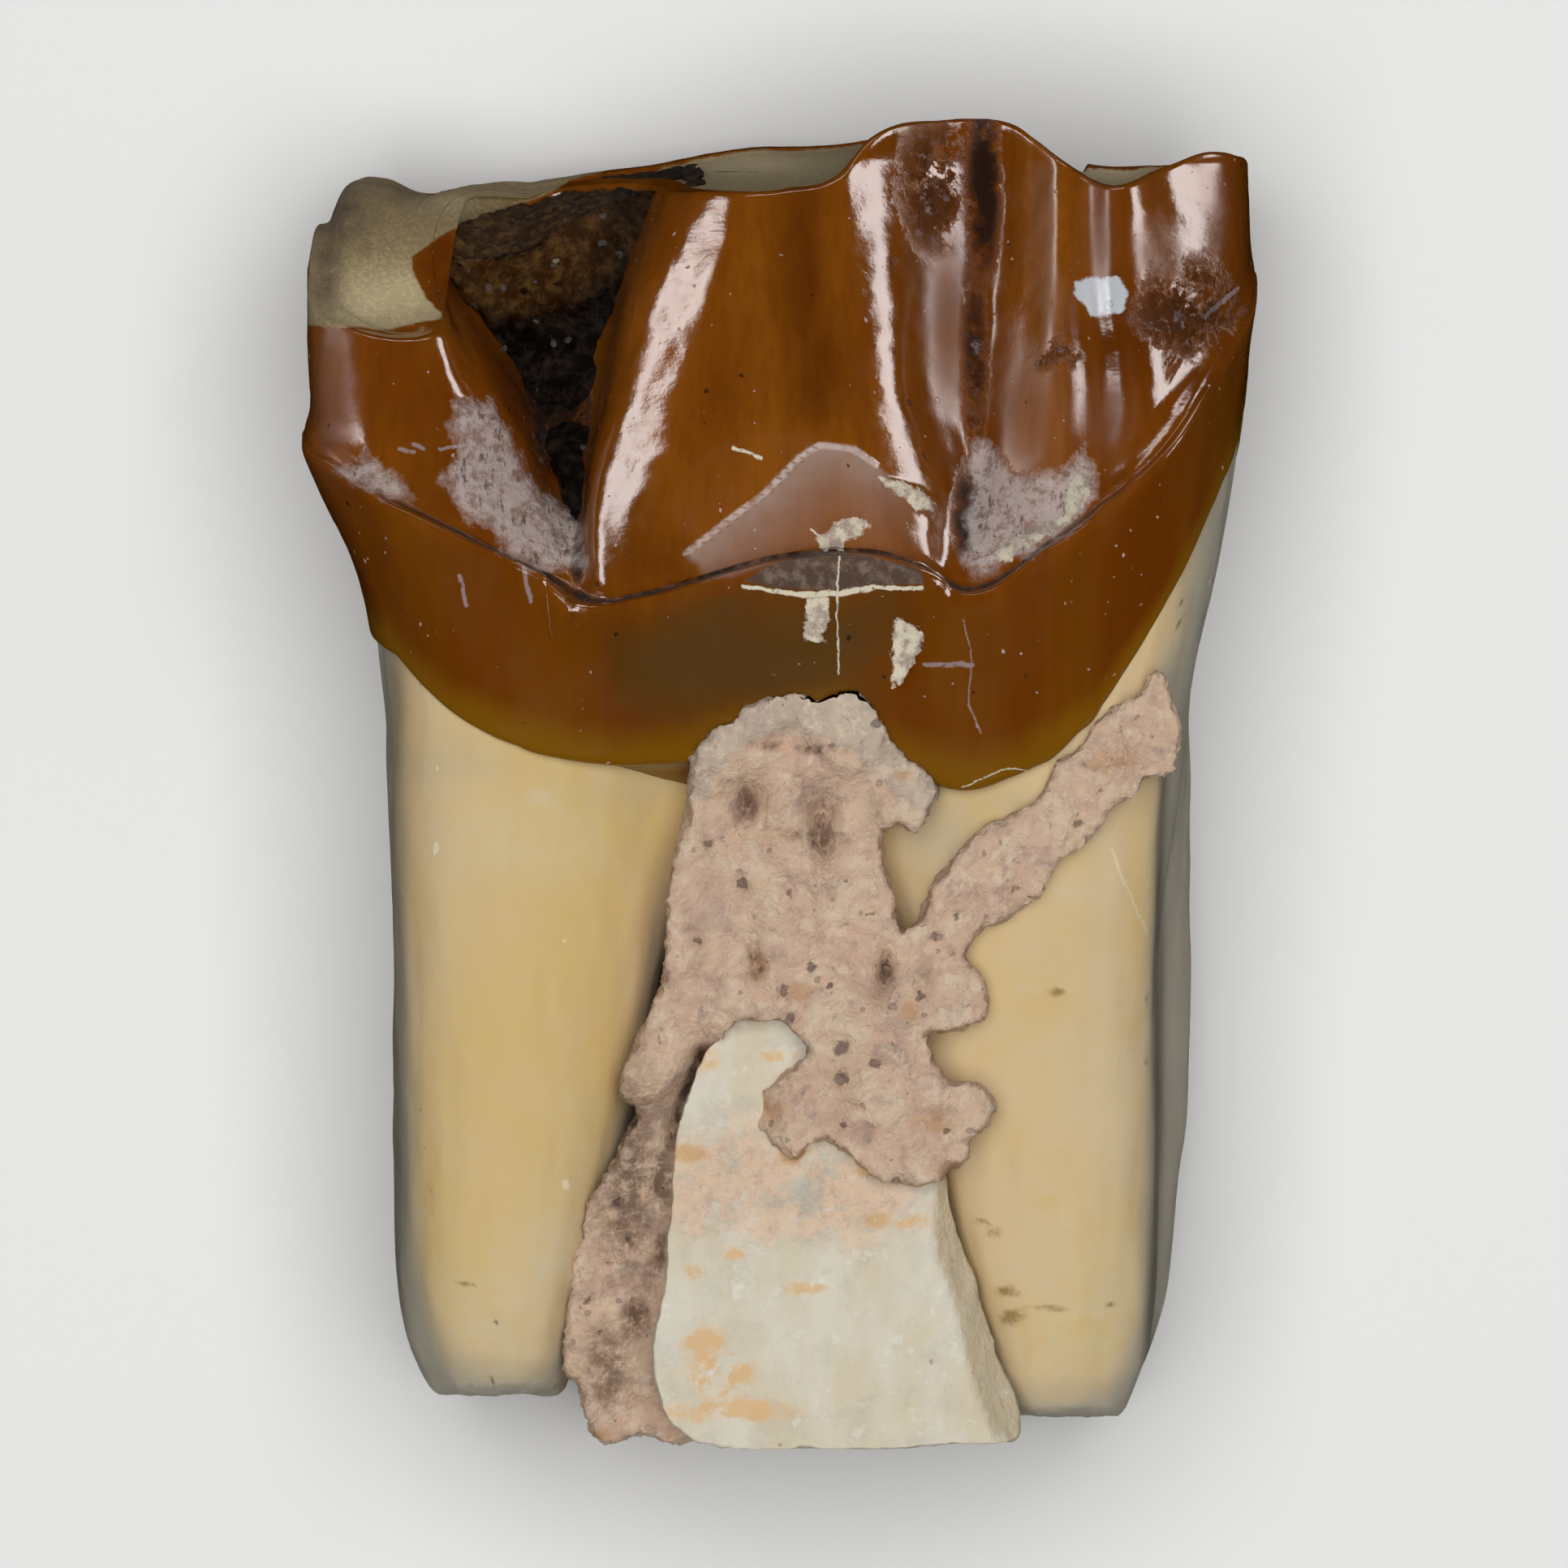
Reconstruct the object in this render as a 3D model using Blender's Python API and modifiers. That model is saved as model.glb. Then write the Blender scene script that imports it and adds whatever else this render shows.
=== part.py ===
"""A fossil lower cheek tooth of a small extinct rhinoceros, lying on its tongue side.

The tooth is one solid: a brown enamel crown with three outer lobes and a worn top, and two long
roots.  Between the roots sit a wedge of jaw bone and a lump of pale sandstone, and the deep fold
between the first two lobes holds a plug of dark sediment.

Lengths in the tables and functions are millimetres and the meshes are metres.  X runs along the
tooth row, Y from the roots to the worn top, and Z from the tongue side, which lies down, to the
outer side, which faces up.
"""

import bmesh
import bpy
import numpy as np
from mathutils import Matrix, Vector, noise

MM = 0.001

# Driving sizes
CROWN_TOP = 17.0
GAP = 0.3
ENAMEL_STEP = 0.1
REST_CUT = 0.15
HIND_ROOT_END = -14.25
FORE_ROOT_END = -14.75
BONE_BACK_Z = 2.6
BONE_FRONT_Z = 11.9
MATRIX_BACK_Z = 3.0
MATRIX_FRONT_Z = 13.0

# Mesh fineness
STEPS = 3
TOP_COLUMNS = 44
TOP_ROWS = 22
VOXEL = 0.24
TRIANGLES = {"rock_matrix": 2300, "jaw_bone": 420, "valley_sediment": 420}

COLOURS = {
    "tooth": ((0.32, 0.14, 0.025, 1), 0.25),
    "rock_matrix": ((0.60, 0.43, 0.32, 1), 0.9),
    "jaw_bone": ((0.62, 0.56, 0.42, 1), 0.7),
    "valley_sediment": ((0.09, 0.06, 0.035, 1), 0.85),
}

# The crown's wall: each line is one upright feature, as its x and its z at these heights, going
# round from the hind outer corner along the outer face and back along the tongue side
CROWN_LEVELS = (-3.0, 2.0, 5.2, 7.0, 9.0, 11.5, 14.5)
CROWN = {
    "hind_corner": ((-9, -9, -9.6, -10.2, -10.55, -10.65, -10.5), (10.4, 10.6, 10.7, 10.7, 10.3, 9.8, 9.2)),
    "hind_crest": ((-7.9, -7.9, -8.6, -9.2, -9.4, -9.5, -9.5), (11.5, 11.9, 11.75, 11.4, 10.85, 10.2, 9.5)),
    "hind_shoulder": ((-6.3, -6.3, -7.4, -7.8, -7.9, -8.4, -9), (11.9, 12.35, 11.65, 11.15, 10.5, 9.9, 9.2)),
    "hind_flank": ((-5.3, -5.3, -6.0, -6.2, -6.9, -8.0, -8.6), (11.8, 12.4, 11.1, 10.15, 9.2, 8.0, 7.2)),
    "fold": ((-4.5, -4.6, -4.9, -5.1, -5.5, -5.9, -5.9), (11.4, 12.45, 10.9, 8.9, 6.8, 5.0, 3.9)),
    "fold_fore": ((-3.7, -4.0, -4.6, -4.65, -4.6, -4.3, -3.4), (11.1, 12.5, 11.2, 9.6, 7.9, 6.5, 5.8)),
    "middle_edge": ((-3.0, -3.3, -4.3, -4.4, -4.1, -3.5, -2.3), (10.9, 12.6, 11.6, 10.7, 9.8, 9.0, 8.5)),
    "middle_stripe": ((-2.2, -2.3, -3.8, -3.95, -3.4, -2.75, -1.6), (10.7, 12.75, 12, 11.4, 10.9, 10.3, 9.6)),
    "middle_hind": ((-1.0, -1.0, -2.2, -2.4, -2.1, -1.6, -0.8), (10.6, 12.9, 12.5, 12.1, 11.6, 10.95, 10.0)),
    "middle": ((0.3, 0.4, 0.0, -0.1, -0.2, -0.1, 0.2), (10.6, 13.0, 12.65, 12.3, 11.75, 11.05, 10.1)),
    "middle_fore": ((1.5, 1.6, 2.0, 1.9, 1.5, 1.3, 1.1), (10.7, 12.9, 12.4, 12.1, 11.65, 11.05, 10.15)),
    "fore_stripe": ((2.6, 2.7, 3.2, 3.2, 2.5, 2.2, 1.9), (11.0, 12.75, 11.95, 11.45, 11.2, 10.65, 9.75)),
    "groove_hind": ((3.5, 3.5, 3.8, 3.95, 3.6, 3.6, 3.6), (11.4, 12.6, 11.5, 10.8, 10.2, 9.5, 8.5)),
    "groove": ((4.3, 4.2, 4.3, 4.4, 4.45, 4.6, 4.8), (11.7, 12.5, 11.35, 10.45, 9.8, 9.0, 8.0)),
    "groove_fore": ((5.2, 5.1, 5.0, 5.1, 5.3, 5.6, 5.7), (11.9, 12.4, 11.5, 10.9, 10.4, 9.7, 8.7)),
    "fore_rib": ((6.2, 6.2, 6.3, 6.4, 6.45, 6.5, 6.5), (11.9, 12.2, 11.8, 11.45, 11.1, 10.45, 9.4)),
    "fore_crest": ((7.4, 7.4, 7.8, 7.9, 7.9, 7.8, 7.7), (11.4, 11.7, 11.5, 11.4, 11.1, 10.6, 9.75)),
    "fore_shoulder": ((8.5, 8.5, 9.1, 9.3, 9.4, 9.4, 9.3), (10.7, 11.0, 10.9, 10.85, 10.6, 10.2, 9.4)),
    "fore_corner": ((9.1, 9.2, 9.9, 10.2, 10.4, 10.5, 10.5), (9.2, 9.6, 9.6, 9.5, 9.3, 9.0, 8.4)),
    "fore_side": ((9.3, 9.4, 10.15, 10.5, 10.75, 10.9, 10.8), (6.5, 6.5, 6.5, 6.5, 6.4, 6.0, 5.8)),
    "fore_back_corner": ((9.2, 9.1, 9.6, 10.0, 10.2, 10.3, 10.2), (2.8, 2.5, 2.2, 2.2, 2.4, 2.8, 3.4)),
    "fore_tongue": ((7.7, 7.7, 8.0, 8.3, 8.4, 8.6, 8.6), (1.0, 0.8, 0.1, 0.2, 0.7, 1.3, 2.0)),
    "fore_valley": ((5.2, 5.2, 5.3, 5.4, 5.5, 5.7, 5.8), (1.3, 0.9, 0.6, 0.9, 1.5, 2.6, 3.6)),
    "middle_tongue": ((1.5, 1.6, 1.8, 1.9, 2.0, 2.0, 2.0), (1.6, 0.8, 0.2, 0.2, 0.5, 1.1, 1.9)),
    "hind_valley": ((-3.8, -3.8, -3.8, -3.9, -4.2, -4.6, -4.6), (1.5, 0.8, 0.5, 0.8, 1.4, 2.3, 3.0)),
    "hind_tongue": ((-7.3, -7.4, -7.8, -8.1, -8.4, -8.6, -8.7), (1.0, 0.8, 0.25, 0.35, 0.7, 1.3, 1.9)),
    "hind_back_corner": ((-8.7, -8.9, -9.3, -9.7, -10.1, -10.4, -10.3), (2.6, 2.6, 2.4, 2.4, 2.7, 3.0, 3.5)),
    "hind_side": ((-9.05, -9.4, -9.95, -10.5, -10.88, -11, -10.95), (6.4, 6.5, 6.5, 6.5, 6.4, 6.2, 6.0)),
}

# For each feature: height of the enamel's lower edge, height of the ledge line, and the ledge's
# strength
CROWN_LINES = {
    "hind_corner": (3.0, 7.6, 1.0), "hind_crest": (1.7, 6.6, 1.0), "hind_shoulder": (0.85, 5.5, 1.0),
    "hind_flank": (0.58, 4.85, 1.0), "fold": (0.48, 4.4, 1.0), "fold_fore": (0.43, 4.25, 1.0),
    "middle_edge": (0.45, 4.2, 1.0), "middle_stripe": (0.55, 4.3, 1.0), "middle_hind": (0.9, 4.65, 1.0),
    "middle": (1.3, 5.25, 1.0), "middle_fore": (1.2, 5.35, 1.0), "fore_stripe": (0.5, 5.0, 1.0),
    "groove_hind": (0.0, 4.65, 1.0), "groove": (-0.15, 4.5, 1.0), "groove_fore": (0.1, 4.75, 1.0),
    "fore_rib": (0.55, 5.7, 1.0), "fore_crest": (1.8, 7.1, 1.0), "fore_shoulder": (4.3, 9.0, 0.8),
    "fore_corner": (7.0, 10.6, 0.5), "fore_side": (9.0, 12.0, 0.2), "fore_back_corner": (6.0, 9.5, 0.0),
    "fore_tongue": (3.2, 7.0, 0.0), "fore_valley": (1.8, 6.0, 0.0), "middle_tongue": (1.2, 5.6, 0.0),
    "hind_valley": (1.3, 5.6, 0.0), "hind_tongue": (1.8, 6.0, 0.0), "hind_back_corner": (3.0, 7.4, 0.0),
    "hind_side": (3.7, 8.6, 0.3),
}

# Rings of the crown below the ledge line, as share of the way up and outward reach, and above it,
# as height over the line and outward reach, then as share of the way to the top
LEDGE_RINGS = ((0.0, 0.0), (0.22, 0.02), (0.46, 0.1), (0.68, 0.25), (0.86, 0.42), (0.975, 0.5))
UPPER_RINGS = ((0.08, -0.18), (0.3, -0.05), (0.9, 0.0))
UPPER_SHARES = (0.14, 0.28, 0.42, 0.56, 0.70, 0.85, 1.0)

# The roots: the same features and some that face the gap between the roots, as x and z at these
# shares of the way from the root's end to height zero
ROOT_LEVELS = (0.0, 0.1, 0.4, 0.76, 1.0)
HIND_ROOT = {
    "hind_side": ((-8.3, -8.75, -9.0, -9.05, -9.2), (5.0, 5.2, 5.8, 6.2, 6.4)),
    "hind_corner": ((-8.1, -8.5, -8.75, -8.8, -8.95), (9.0, 9.5, 10.1, 10.4, 10.6)),
    "hind_crest": ((-7.5, -7.8, -8.0, -7.9, -7.9), (9.9, 10.6, 11.2, 11.5, 11.75)),
    "hind_shoulder": ((-6.9, -6.9, -6.8, -6.5, -6.4), (10.2, 10.95, 11.6, 11.85, 12.1)),
    "hind_flank": ((-6.3, -6.2, -5.9, -5.5, -5.4), (10.2, 10.9, 11.55, 11.8, 12.1)),
    "fold": ((-5.8, -5.6, -5.0, -4.6, -4.6), (9.9, 10.6, 11.2, 11.55, 12.0)),
    "fold_fore": ((-5.4, -5.2, -4.4, -3.9, -4.0), (9.4, 10.0, 10.7, 11.2, 11.8)),
    "middle_edge": ((-5.2, -5.0, -4.0, -3.2, -3.2), (8.8, 9.3, 10.0, 10.5, 11.4)),
    "inner_front": ((-5.1, -4.8, -3.7, -2.5, 0.0), (7.8, 8.0, 8.3, 8.6, 9.5)),
    "inner_waist": ((-5.4, -5.2, -4.5, -3.2, 1.0), (5.4, 5.6, 6.0, 6.4, 6.5)),
    "inner_back": ((-5.3, -4.9, -3.9, -2.6, 0.0), (2.9, 2.8, 2.9, 3.2, 3.4)),
    "hind_valley": ((-5.8, -5.5, -4.8, -3.9, -3.8), (1.2, 1.0, 1.0, 1.2, 1.2)),
    "hind_tongue": ((-6.8, -6.8, -6.9, -7.1, -7.3), (0.6, 0.15, 0.3, 0.7, 0.9)),
    "hind_back_corner": ((-7.9, -8.2, -8.4, -8.6, -8.8), (1.7, 1.6, 1.9, 2.3, 2.6)),
}
FORE_ROOT = {
    "middle_fore": ((5.1, 4.75, 3.5, 2.4, 1.5), (9.2, 9.6, 10.1, 10.3, 11.2)),
    "fore_stripe": ((5.4, 5.05, 3.9, 2.9, 2.6), (9.8, 10.3, 10.8, 11.0, 11.7)),
    "groove_hind": ((5.7, 5.5, 4.5, 3.6, 3.5), (10.1, 10.7, 11.2, 11.4, 11.9)),
    "groove": ((6.1, 6.0, 5.2, 4.4, 4.3), (10.2, 10.85, 11.4, 11.65, 12.0)),
    "groove_fore": ((6.5, 6.5, 5.9, 5.3, 5.2), (10.2, 10.85, 11.5, 11.8, 12.1)),
    "fore_rib": ((6.9, 7.0, 6.7, 6.3, 6.2), (10.1, 10.8, 11.45, 11.7, 11.95)),
    "fore_crest": ((7.4, 7.6, 7.6, 7.5, 7.5), (9.9, 10.5, 11.1, 11.3, 11.4)),
    "fore_shoulder": ((7.9, 8.2, 8.4, 8.45, 8.6), (9.3, 9.8, 10.2, 10.4, 10.5)),
    "fore_corner": ((8.0, 8.4, 8.7, 8.75, 9.1), (8.2, 8.4, 8.6, 8.7, 9.1)),
    "fore_side": ((7.8, 8.15, 8.5, 8.6, 9.25), (6.3, 6.3, 6.5, 6.6, 6.6)),
    "fore_back_corner": ((8.0, 8.55, 9.3, 9.5, 9.3), (3.6, 3.6, 3.8, 3.9, 3.1)),
    "fore_tongue": ((7.0, 7.3, 7.6, 7.8, 7.7), (0.6, 0.15, 0.4, 0.8, 0.9)),
    "fore_valley": ((6.0, 6.0, 5.6, 5.2, 5.2), (1.0, 0.8, 0.9, 1.1, 1.1)),
    "middle_tongue": ((5.2, 4.9, 4.0, 3.0, 1.6), (2.6, 2.4, 2.4, 2.4, 1.2)),
    "inner_waist": ((5.2, 5.0, 4.3, 3.2, -1.0), (5.4, 5.6, 6.0, 6.4, 6.5)),
    "inner_front": ((5.0, 4.65, 3.5, 2.4, -0.5), (7.6, 7.8, 8.3, 8.6, 9.4)),
}
ROOT_SHARES = (0.0, 0.015, 0.05, 0.12, 0.24, 0.38, 0.52, 0.66, 0.80, 0.90, 1.0)
ROOT_SHRINK = (0.82, 0.93, 0.985)

# The worn top: height along the outer rim and along the tongue rim, by x
OUTER_RIM = (
    (-11, 10.7), (-8, 10.6), (-6.5, 11.7), (-4, 13.4), (-2.4, 13.95), (0, 14.1), (1.3, 14.4), (2.0, 15.2),
    (3.6, 15.55), (5.3, 15.5), (6.4, 14.6), (7.6, 13.95), (8.8, 14.4), (10, 14.85), (11, 14.7),
)
TONGUE_RIM = (
    (-11, 12.9), (-10.2, 14.15), (-9.2, 14.2), (-8.5, 13.85), (-6, 14.0), (-3, 14.6), (-1, 14.95),
    (1, 15.0), (3, 15.2), (5, 15.05), (7.6, 14.55), (9, 14.55), (11, 14.4),
)
# Hollows of the worn top that open to the tongue side: x, half width, floor height, how far in
HOLLOWS = ((-5.0, 2.2, 9.8, 2.5), (5.2, 1.9, 10.8, 4.2))

# A chip on the middle lobe, flat, above the ledge: the x it spans, and its z at two heights
CHIP_SPAN = (-2.6, 4.2)
CHIP_PLANE = ((5.2, 12.22), (7.9, 12.02))

# Sandstone between the roots: its outline as seen from the outer side
MATRIX_OUTLINE = (
    (-2.25, 0.4), (-1.7, 1.2), (-1.0, 1.7), (-0.1, 2.0), (0.6, 1.85), (1.35, 2.1), (1.9, 1.85),
    (2.5, 0.9), (3.2, 0.25), (3.6, -0.2), (3.1, -1.0), (2.3, -1.0), (2.2, -1.8), (2.4, -2.5),
    (2.85, -3.1), (3.4, -2.7), (3.7, -2.1), (4.6, -1.05), (5.6, -0.6), (6.0, -0.3), (6.3, 0.4),
    (7.1, 1.2), (7.6, 1.8), (8.3, 2.0), (8.65, 2.6), (8.9, 2.0), (9.15, 1.1), (8.9, 0.3), (8.2, 0.1),
    (7.6, -0.6), (6.9, -1.5), (6.3, -1.8), (5.9, -2.6), (4.6, -3.3), (4.2, -4.0), (4.7, -4.8),
    (4.6, -5.45), (3.9, -5.7), (3.2, -5.65), (3.6, -6.8), (4.4, -7.0), (4.9, -7.5), (4.3, -8.1),
    (4.2, -8.8), (3.5, -9.3),
    (0.5, -9.4), (-0.6, -7.9), (-0.8, -6.0), (-1.6, -7.6), (-1.9, -8.6), (-2.0, -11.0), (-2.2, -13.0),
    (-2.2, -14.2), (-1.9, -15.2), (-3.5, -15.1), (-4.4, -15.3), (-4.8, -14.0), (-5.15, -13.6),
    (-5.1, -12.0), (-4.8, -10.6), (-4.3, -9.3), (-3.7, -8.2), (-3.4, -7.5), (-3.9, -7.15), (-3.6, -6.3),
    (-3.1, -5.2), (-2.75, -4.2), (-2.7, -2.6), (-2.4, -1.3), (-2.2, -0.5),
)
# How far forward the sandstone reaches: x, y and height
MATRIX_FRONT = (
    (-1.6, 0.7, 13.1), (-0.9, 1.3, 13.15), (0.0, 1.8, 13.1), (1.5, 1.3, 13.1), (2.7, 0.1, 12.7),
    (0.1, 1.0, 12.6), (-0.85, -0.5, 12.0), (0.85, -0.9, 11.7), (0.0, -0.45, 12.6), (0.05, -1.25, 12.2),
    (-1.9, -0.8, 12.4), (1.9, -0.6, 12.4), (0.0, -3.0, 12.8), (-1.5, -3.4, 12.5), (1.5, -3.8, 12.5),
    (-0.5, -5.2, 12.6), (2.0, -6.3, 13.0), (3.6, -7.6, 12.7), (1.0, -8.6, 12.7), (4.0, -4.6, 12.5),
    (5.3, -2.2, 12.7), (7.2, 0.2, 12.5), (8.5, 1.6, 11.9), (-3.0, -6.6, 12.0), (-3.6, -8.6, 11.1),
    (-3.6, -11.4, 10.5), (-3.6, -14.5, 10.0),
)

# Outer face of the bone wedge, from its upper left corner round to the right
BONE_OUTLINE = (
    (-1.3, -5.6), (0.2, -5.5), (2.0, -6.6), (3.7, -9.1), (3.95, -10.4), (4.5, -12.0), (5.2, -14.0),
    (5.45, -14.8), (5.2, -15.35), (3.5, -15.4), (0.2, -15.5), (-1.5, -15.4), (-2.4, -15.1),
    (-2.95, -14.2), (-3.05, -13.0), (-2.8, -11.6), (-2.65, -9.5), (-2.5, -8.0), (-2.1, -6.8),
)


def smooth_through(at, values, places):
    """Values at the places, on a smooth curve through (at, values), level beyond its ends."""
    at, values = np.array(at, float), np.array(values, float)
    slope = np.gradient(values, at, axis=0)
    places = np.clip(np.atleast_1d(np.array(places, float)), at[0], at[-1])
    i = np.clip(np.searchsorted(at, places) - 1, 0, len(at) - 2)
    span = at[i + 1] - at[i]
    s = (places - at[i]) / span
    from_start = ((1 + 2 * s) * (1 - s) ** 2, s * (1 - s) ** 2 * span)
    from_end = (s * s * (3 - 2 * s), s * s * (s - 1) * span)
    a, b, c, d = (w.reshape(w.shape + (1,) * (values.ndim - 1)) for w in from_start + from_end)
    return a * values[i] + b * slope[i] + c * values[i + 1] + d * slope[i + 1]


def round_trip(keys, steps):
    """Points on a smooth closed line through each row's own keys, one row for each column."""
    count = keys.shape[1]
    column = np.arange(count * steps)
    k = column // steps
    s = ((column % steps) / steps)[:, None]
    p0, p1, p2, p3 = (keys[column, (k + shift) % count] for shift in (-1, 0, 1, 2))
    pairs = ((p0, p1), (p1, p2), (p2, p3))
    d01, d12, d23 = (np.linalg.norm(b - a, axis=1)[:, None] + 1e-6 for a, b in pairs)
    start = d12 * ((p1 - p0) / d01 * d12 + (p2 - p1) / d12 * d01) / (d01 + d12)
    end = d12 * ((p2 - p1) / d12 * d23 + (p3 - p2) / d23 * d12) / (d12 + d23)
    near = (1 + 2 * s) * (1 - s) ** 2 * p1 + s * (1 - s) ** 2 * start
    return near + s * s * (3 - 2 * s) * p2 + s * s * (s - 1) * end


def outward(points):
    """Unit vectors that point out of a closed line of (x, z) points."""
    along = np.roll(points, -1, axis=0) - np.roll(points, 1, axis=0)
    normal = np.stack([-along[:, 1], along[:, 0]], axis=1)
    return normal / np.linalg.norm(normal, axis=1)[:, None]


def by_column(values, steps):
    """One value for each column, smoothly from one value for each feature."""
    keys = np.array(values, float)
    around = np.concatenate([keys[-2:], keys, keys[:3]])
    places = np.arange(len(keys) * steps) / steps
    return smooth_through(np.arange(-2, len(keys) + 3), around, places)


class Wall:
    """The upright wall of the crown or of a root, given by features at some heights."""

    def __init__(self, levels, features, steps):
        self.levels = levels
        self.table = np.array(list(features.values()), float).transpose(2, 0, 1)
        self.steps = steps
        self.columns = len(features) * steps

    def ring(self, heights, reach=0.0, shrink=1.0):
        """The wall's points at one height for each column, moved outward by reach."""
        heights = np.broadcast_to(np.array(heights, float), (self.columns,))
        points = round_trip(smooth_through(self.levels, self.table, heights), self.steps)
        points = points + outward(points) * np.broadcast_to(reach, (self.columns,))[:, None]
        centre = points.mean(axis=0)
        points = centre + (points - centre) * shrink
        return [(x, y, z) for (x, z), y in zip(points, heights)]


def face_outward(mesh):
    work = bmesh.new()
    work.from_mesh(mesh)
    bmesh.ops.recalc_face_normals(work, faces=work.faces)
    work.to_mesh(mesh)
    work.free()


def loft(name, rings):
    """A closed mesh from rings of (x, y, z) points."""
    around = len(rings[0])
    vertices = [Vector(p) * MM for ring in rings for p in ring]
    faces = [tuple(range(around)), tuple(range(len(vertices) - around, len(vertices)))]
    for level in range(len(rings) - 1):
        low = level * around
        for i in range(around):
            j = (i + 1) % around
            faces.append((low + i, low + j, low + around + j, low + around + i))
    mesh = bpy.data.meshes.new(name)
    mesh.from_pydata(vertices, [], faces)
    face_outward(mesh)
    return bpy.data.objects.new(name, mesh)


def slab(name, outline, back, front):
    """A flat outline given its depth."""
    work = bmesh.new()
    face = work.faces.new([work.verts.new(Vector((x, y, back)) * MM) for x, y in outline])
    made = bmesh.ops.extrude_face_region(work, geom=[face])
    for item in made["geom"]:
        if isinstance(item, bmesh.types.BMVert):
            item.co.z = front * MM
    mesh = bpy.data.meshes.new(name)
    work.to_mesh(mesh)
    work.free()
    face_outward(mesh)
    return bpy.data.objects.new(name, mesh)


def lump(name, centre, radii):
    mesh = bpy.data.meshes.new(name)
    work = bmesh.new()
    bmesh.ops.create_icosphere(work, subdivisions=4, radius=1)
    for v in work.verts:
        v.co = Vector([(u * r + c) * MM for u, r, c in zip(v.co, radii, centre)])
    work.to_mesh(mesh)
    work.free()
    return bpy.data.objects.new(name, mesh)


def make_crown():
    wall = Wall(CROWN_LEVELS, CROWN, STEPS)
    margin, ledge, strength = (by_column([CROWN_LINES[n][i] for n in CROWN], STEPS) for i in range(3))
    rings = [wall.ring(np.full(wall.columns, -1.2), 0.0, 0.5), wall.ring(margin + 0.02, -0.45)]
    for share, reach in LEDGE_RINGS:
        rings.append(wall.ring(margin + (ledge - margin) * share, reach * strength))
    for above, reach in UPPER_RINGS:
        rings.append(wall.ring(ledge + above, reach * strength))
    start = ledge + UPPER_RINGS[-1][0]
    for share in UPPER_SHARES:
        rings.append(wall.ring(start + (CROWN_TOP - start) * share))
    chipped = 2 + len(LEDGE_RINGS)
    return loft("tooth", rings[:chipped] + [chip(ring) for ring in rings[chipped:]])


def chip(ring):
    """The ring's points, none of them further out than the chip's plane."""
    (low, low_z), (high, high_z) = CHIP_PLANE
    flat = []
    for x, y, z in ring:
        plane = low_z + (high_z - low_z) * (y - low) / (high - low)
        chipped = CHIP_SPAN[0] < x < CHIP_SPAN[1] and y < high + 0.4
        flat.append((x, y, min(z, plane) if chipped else z))
    return flat


def make_root(name, features, end):
    """A root, from its broken end to its hidden top inside the crown."""
    low = [end * (1 - share) for share in ROOT_LEVELS]
    joined = {}
    for feature, (xs, zs) in features.items():
        upper = [v[1:5] for v in CROWN[feature]] if feature in CROWN else ((xs[-1],) * 4, (zs[-1],) * 4)
        joined[feature] = (xs + upper[0], zs + upper[1])
    wall = Wall(low + list(CROWN_LEVELS[1:5]), joined, STEPS)
    margin = by_column([CROWN_LINES[f][0] if f in CROWN else 1.6 for f in features], STEPS)
    rings = []
    for i, share in enumerate(ROOT_SHARES):
        shrink = ROOT_SHRINK[i] if i < len(ROOT_SHRINK) else 1.0
        rings.append(wall.ring(end + (margin - 0.3 - end) * share, -ENAMEL_STEP * share**6, shrink))
    rings.append(wall.ring(margin + 0.4, -0.2))
    rings.append(wall.ring(margin + 0.8, -0.6))
    rings.append(wall.ring(np.full(wall.columns, 5.2), 0.0, 0.45))
    return loft(name, rings)


def top_height(x, z):
    """Height of the worn top at x and z, with its hollows."""
    share = np.clip((10.5 - z) / 9.0, 0, 1)
    share = share * share * (3 - 2 * share)
    outer = smooth_through(*zip(*OUTER_RIM), x)
    tongue = smooth_through(*zip(*TONGUE_RIM), x)
    height = outer * (1 - share) + tongue * share
    for at, half, floor, inward in HOLLOWS:
        across = np.clip(1 - ((x - at) / half) ** 2, 0, 1)
        depth = across * np.clip(1 - (z - 0.5) / inward, 0, 1) ** 0.7
        height = height + (floor - height) * depth
    return height


def top_cutter():
    """A block that fills everything above the worn top."""
    work = bmesh.new()
    bmesh.ops.create_grid(work, x_segments=TOP_COLUMNS, y_segments=TOP_ROWS, size=1)
    xs = np.array([v.co.x * 12.5 for v in work.verts])
    zs = np.array([v.co.y * 8.5 + 6.5 for v in work.verts])
    for v, x, y, z in zip(work.verts, xs, top_height(xs, zs), zs):
        v.co = Vector((x, y, z)) * MM
    made = bmesh.ops.extrude_face_region(work, geom=work.faces[:])
    for item in made["geom"]:
        if isinstance(item, bmesh.types.BMVert):
            item.co.y = 20 * MM
    mesh = bpy.data.meshes.new("top_cutter")
    work.to_mesh(mesh)
    work.free()
    face_outward(mesh)
    return bpy.data.objects.new("top_cutter", mesh)


def collection_named(name):
    made = bpy.data.collections.new(name)
    bpy.context.scene.collection.children.link(made)
    return made


def place(obj, collection):
    collection.objects.link(obj)
    return obj


def as_cutter(obj, cutters):
    obj.hide_render = True
    obj.display_type = "WIRE"
    return place(obj, cutters)


def material_for(name):
    colour, roughness = COLOURS[name]
    made = bpy.data.materials.new(name)
    made.use_nodes = True
    shader = made.node_tree.nodes["Principled BSDF"]
    shader.inputs["Base Color"].default_value = colour
    shader.inputs["Roughness"].default_value = roughness
    return made


def bake(obj):
    """Replaces the object's mesh with what its modifiers make of it."""
    graph = bpy.context.evaluated_depsgraph_get()
    mesh = bpy.data.meshes.new_from_object(obj.evaluated_get(graph))
    obj.modifiers.clear()
    obj.data = mesh


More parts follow.
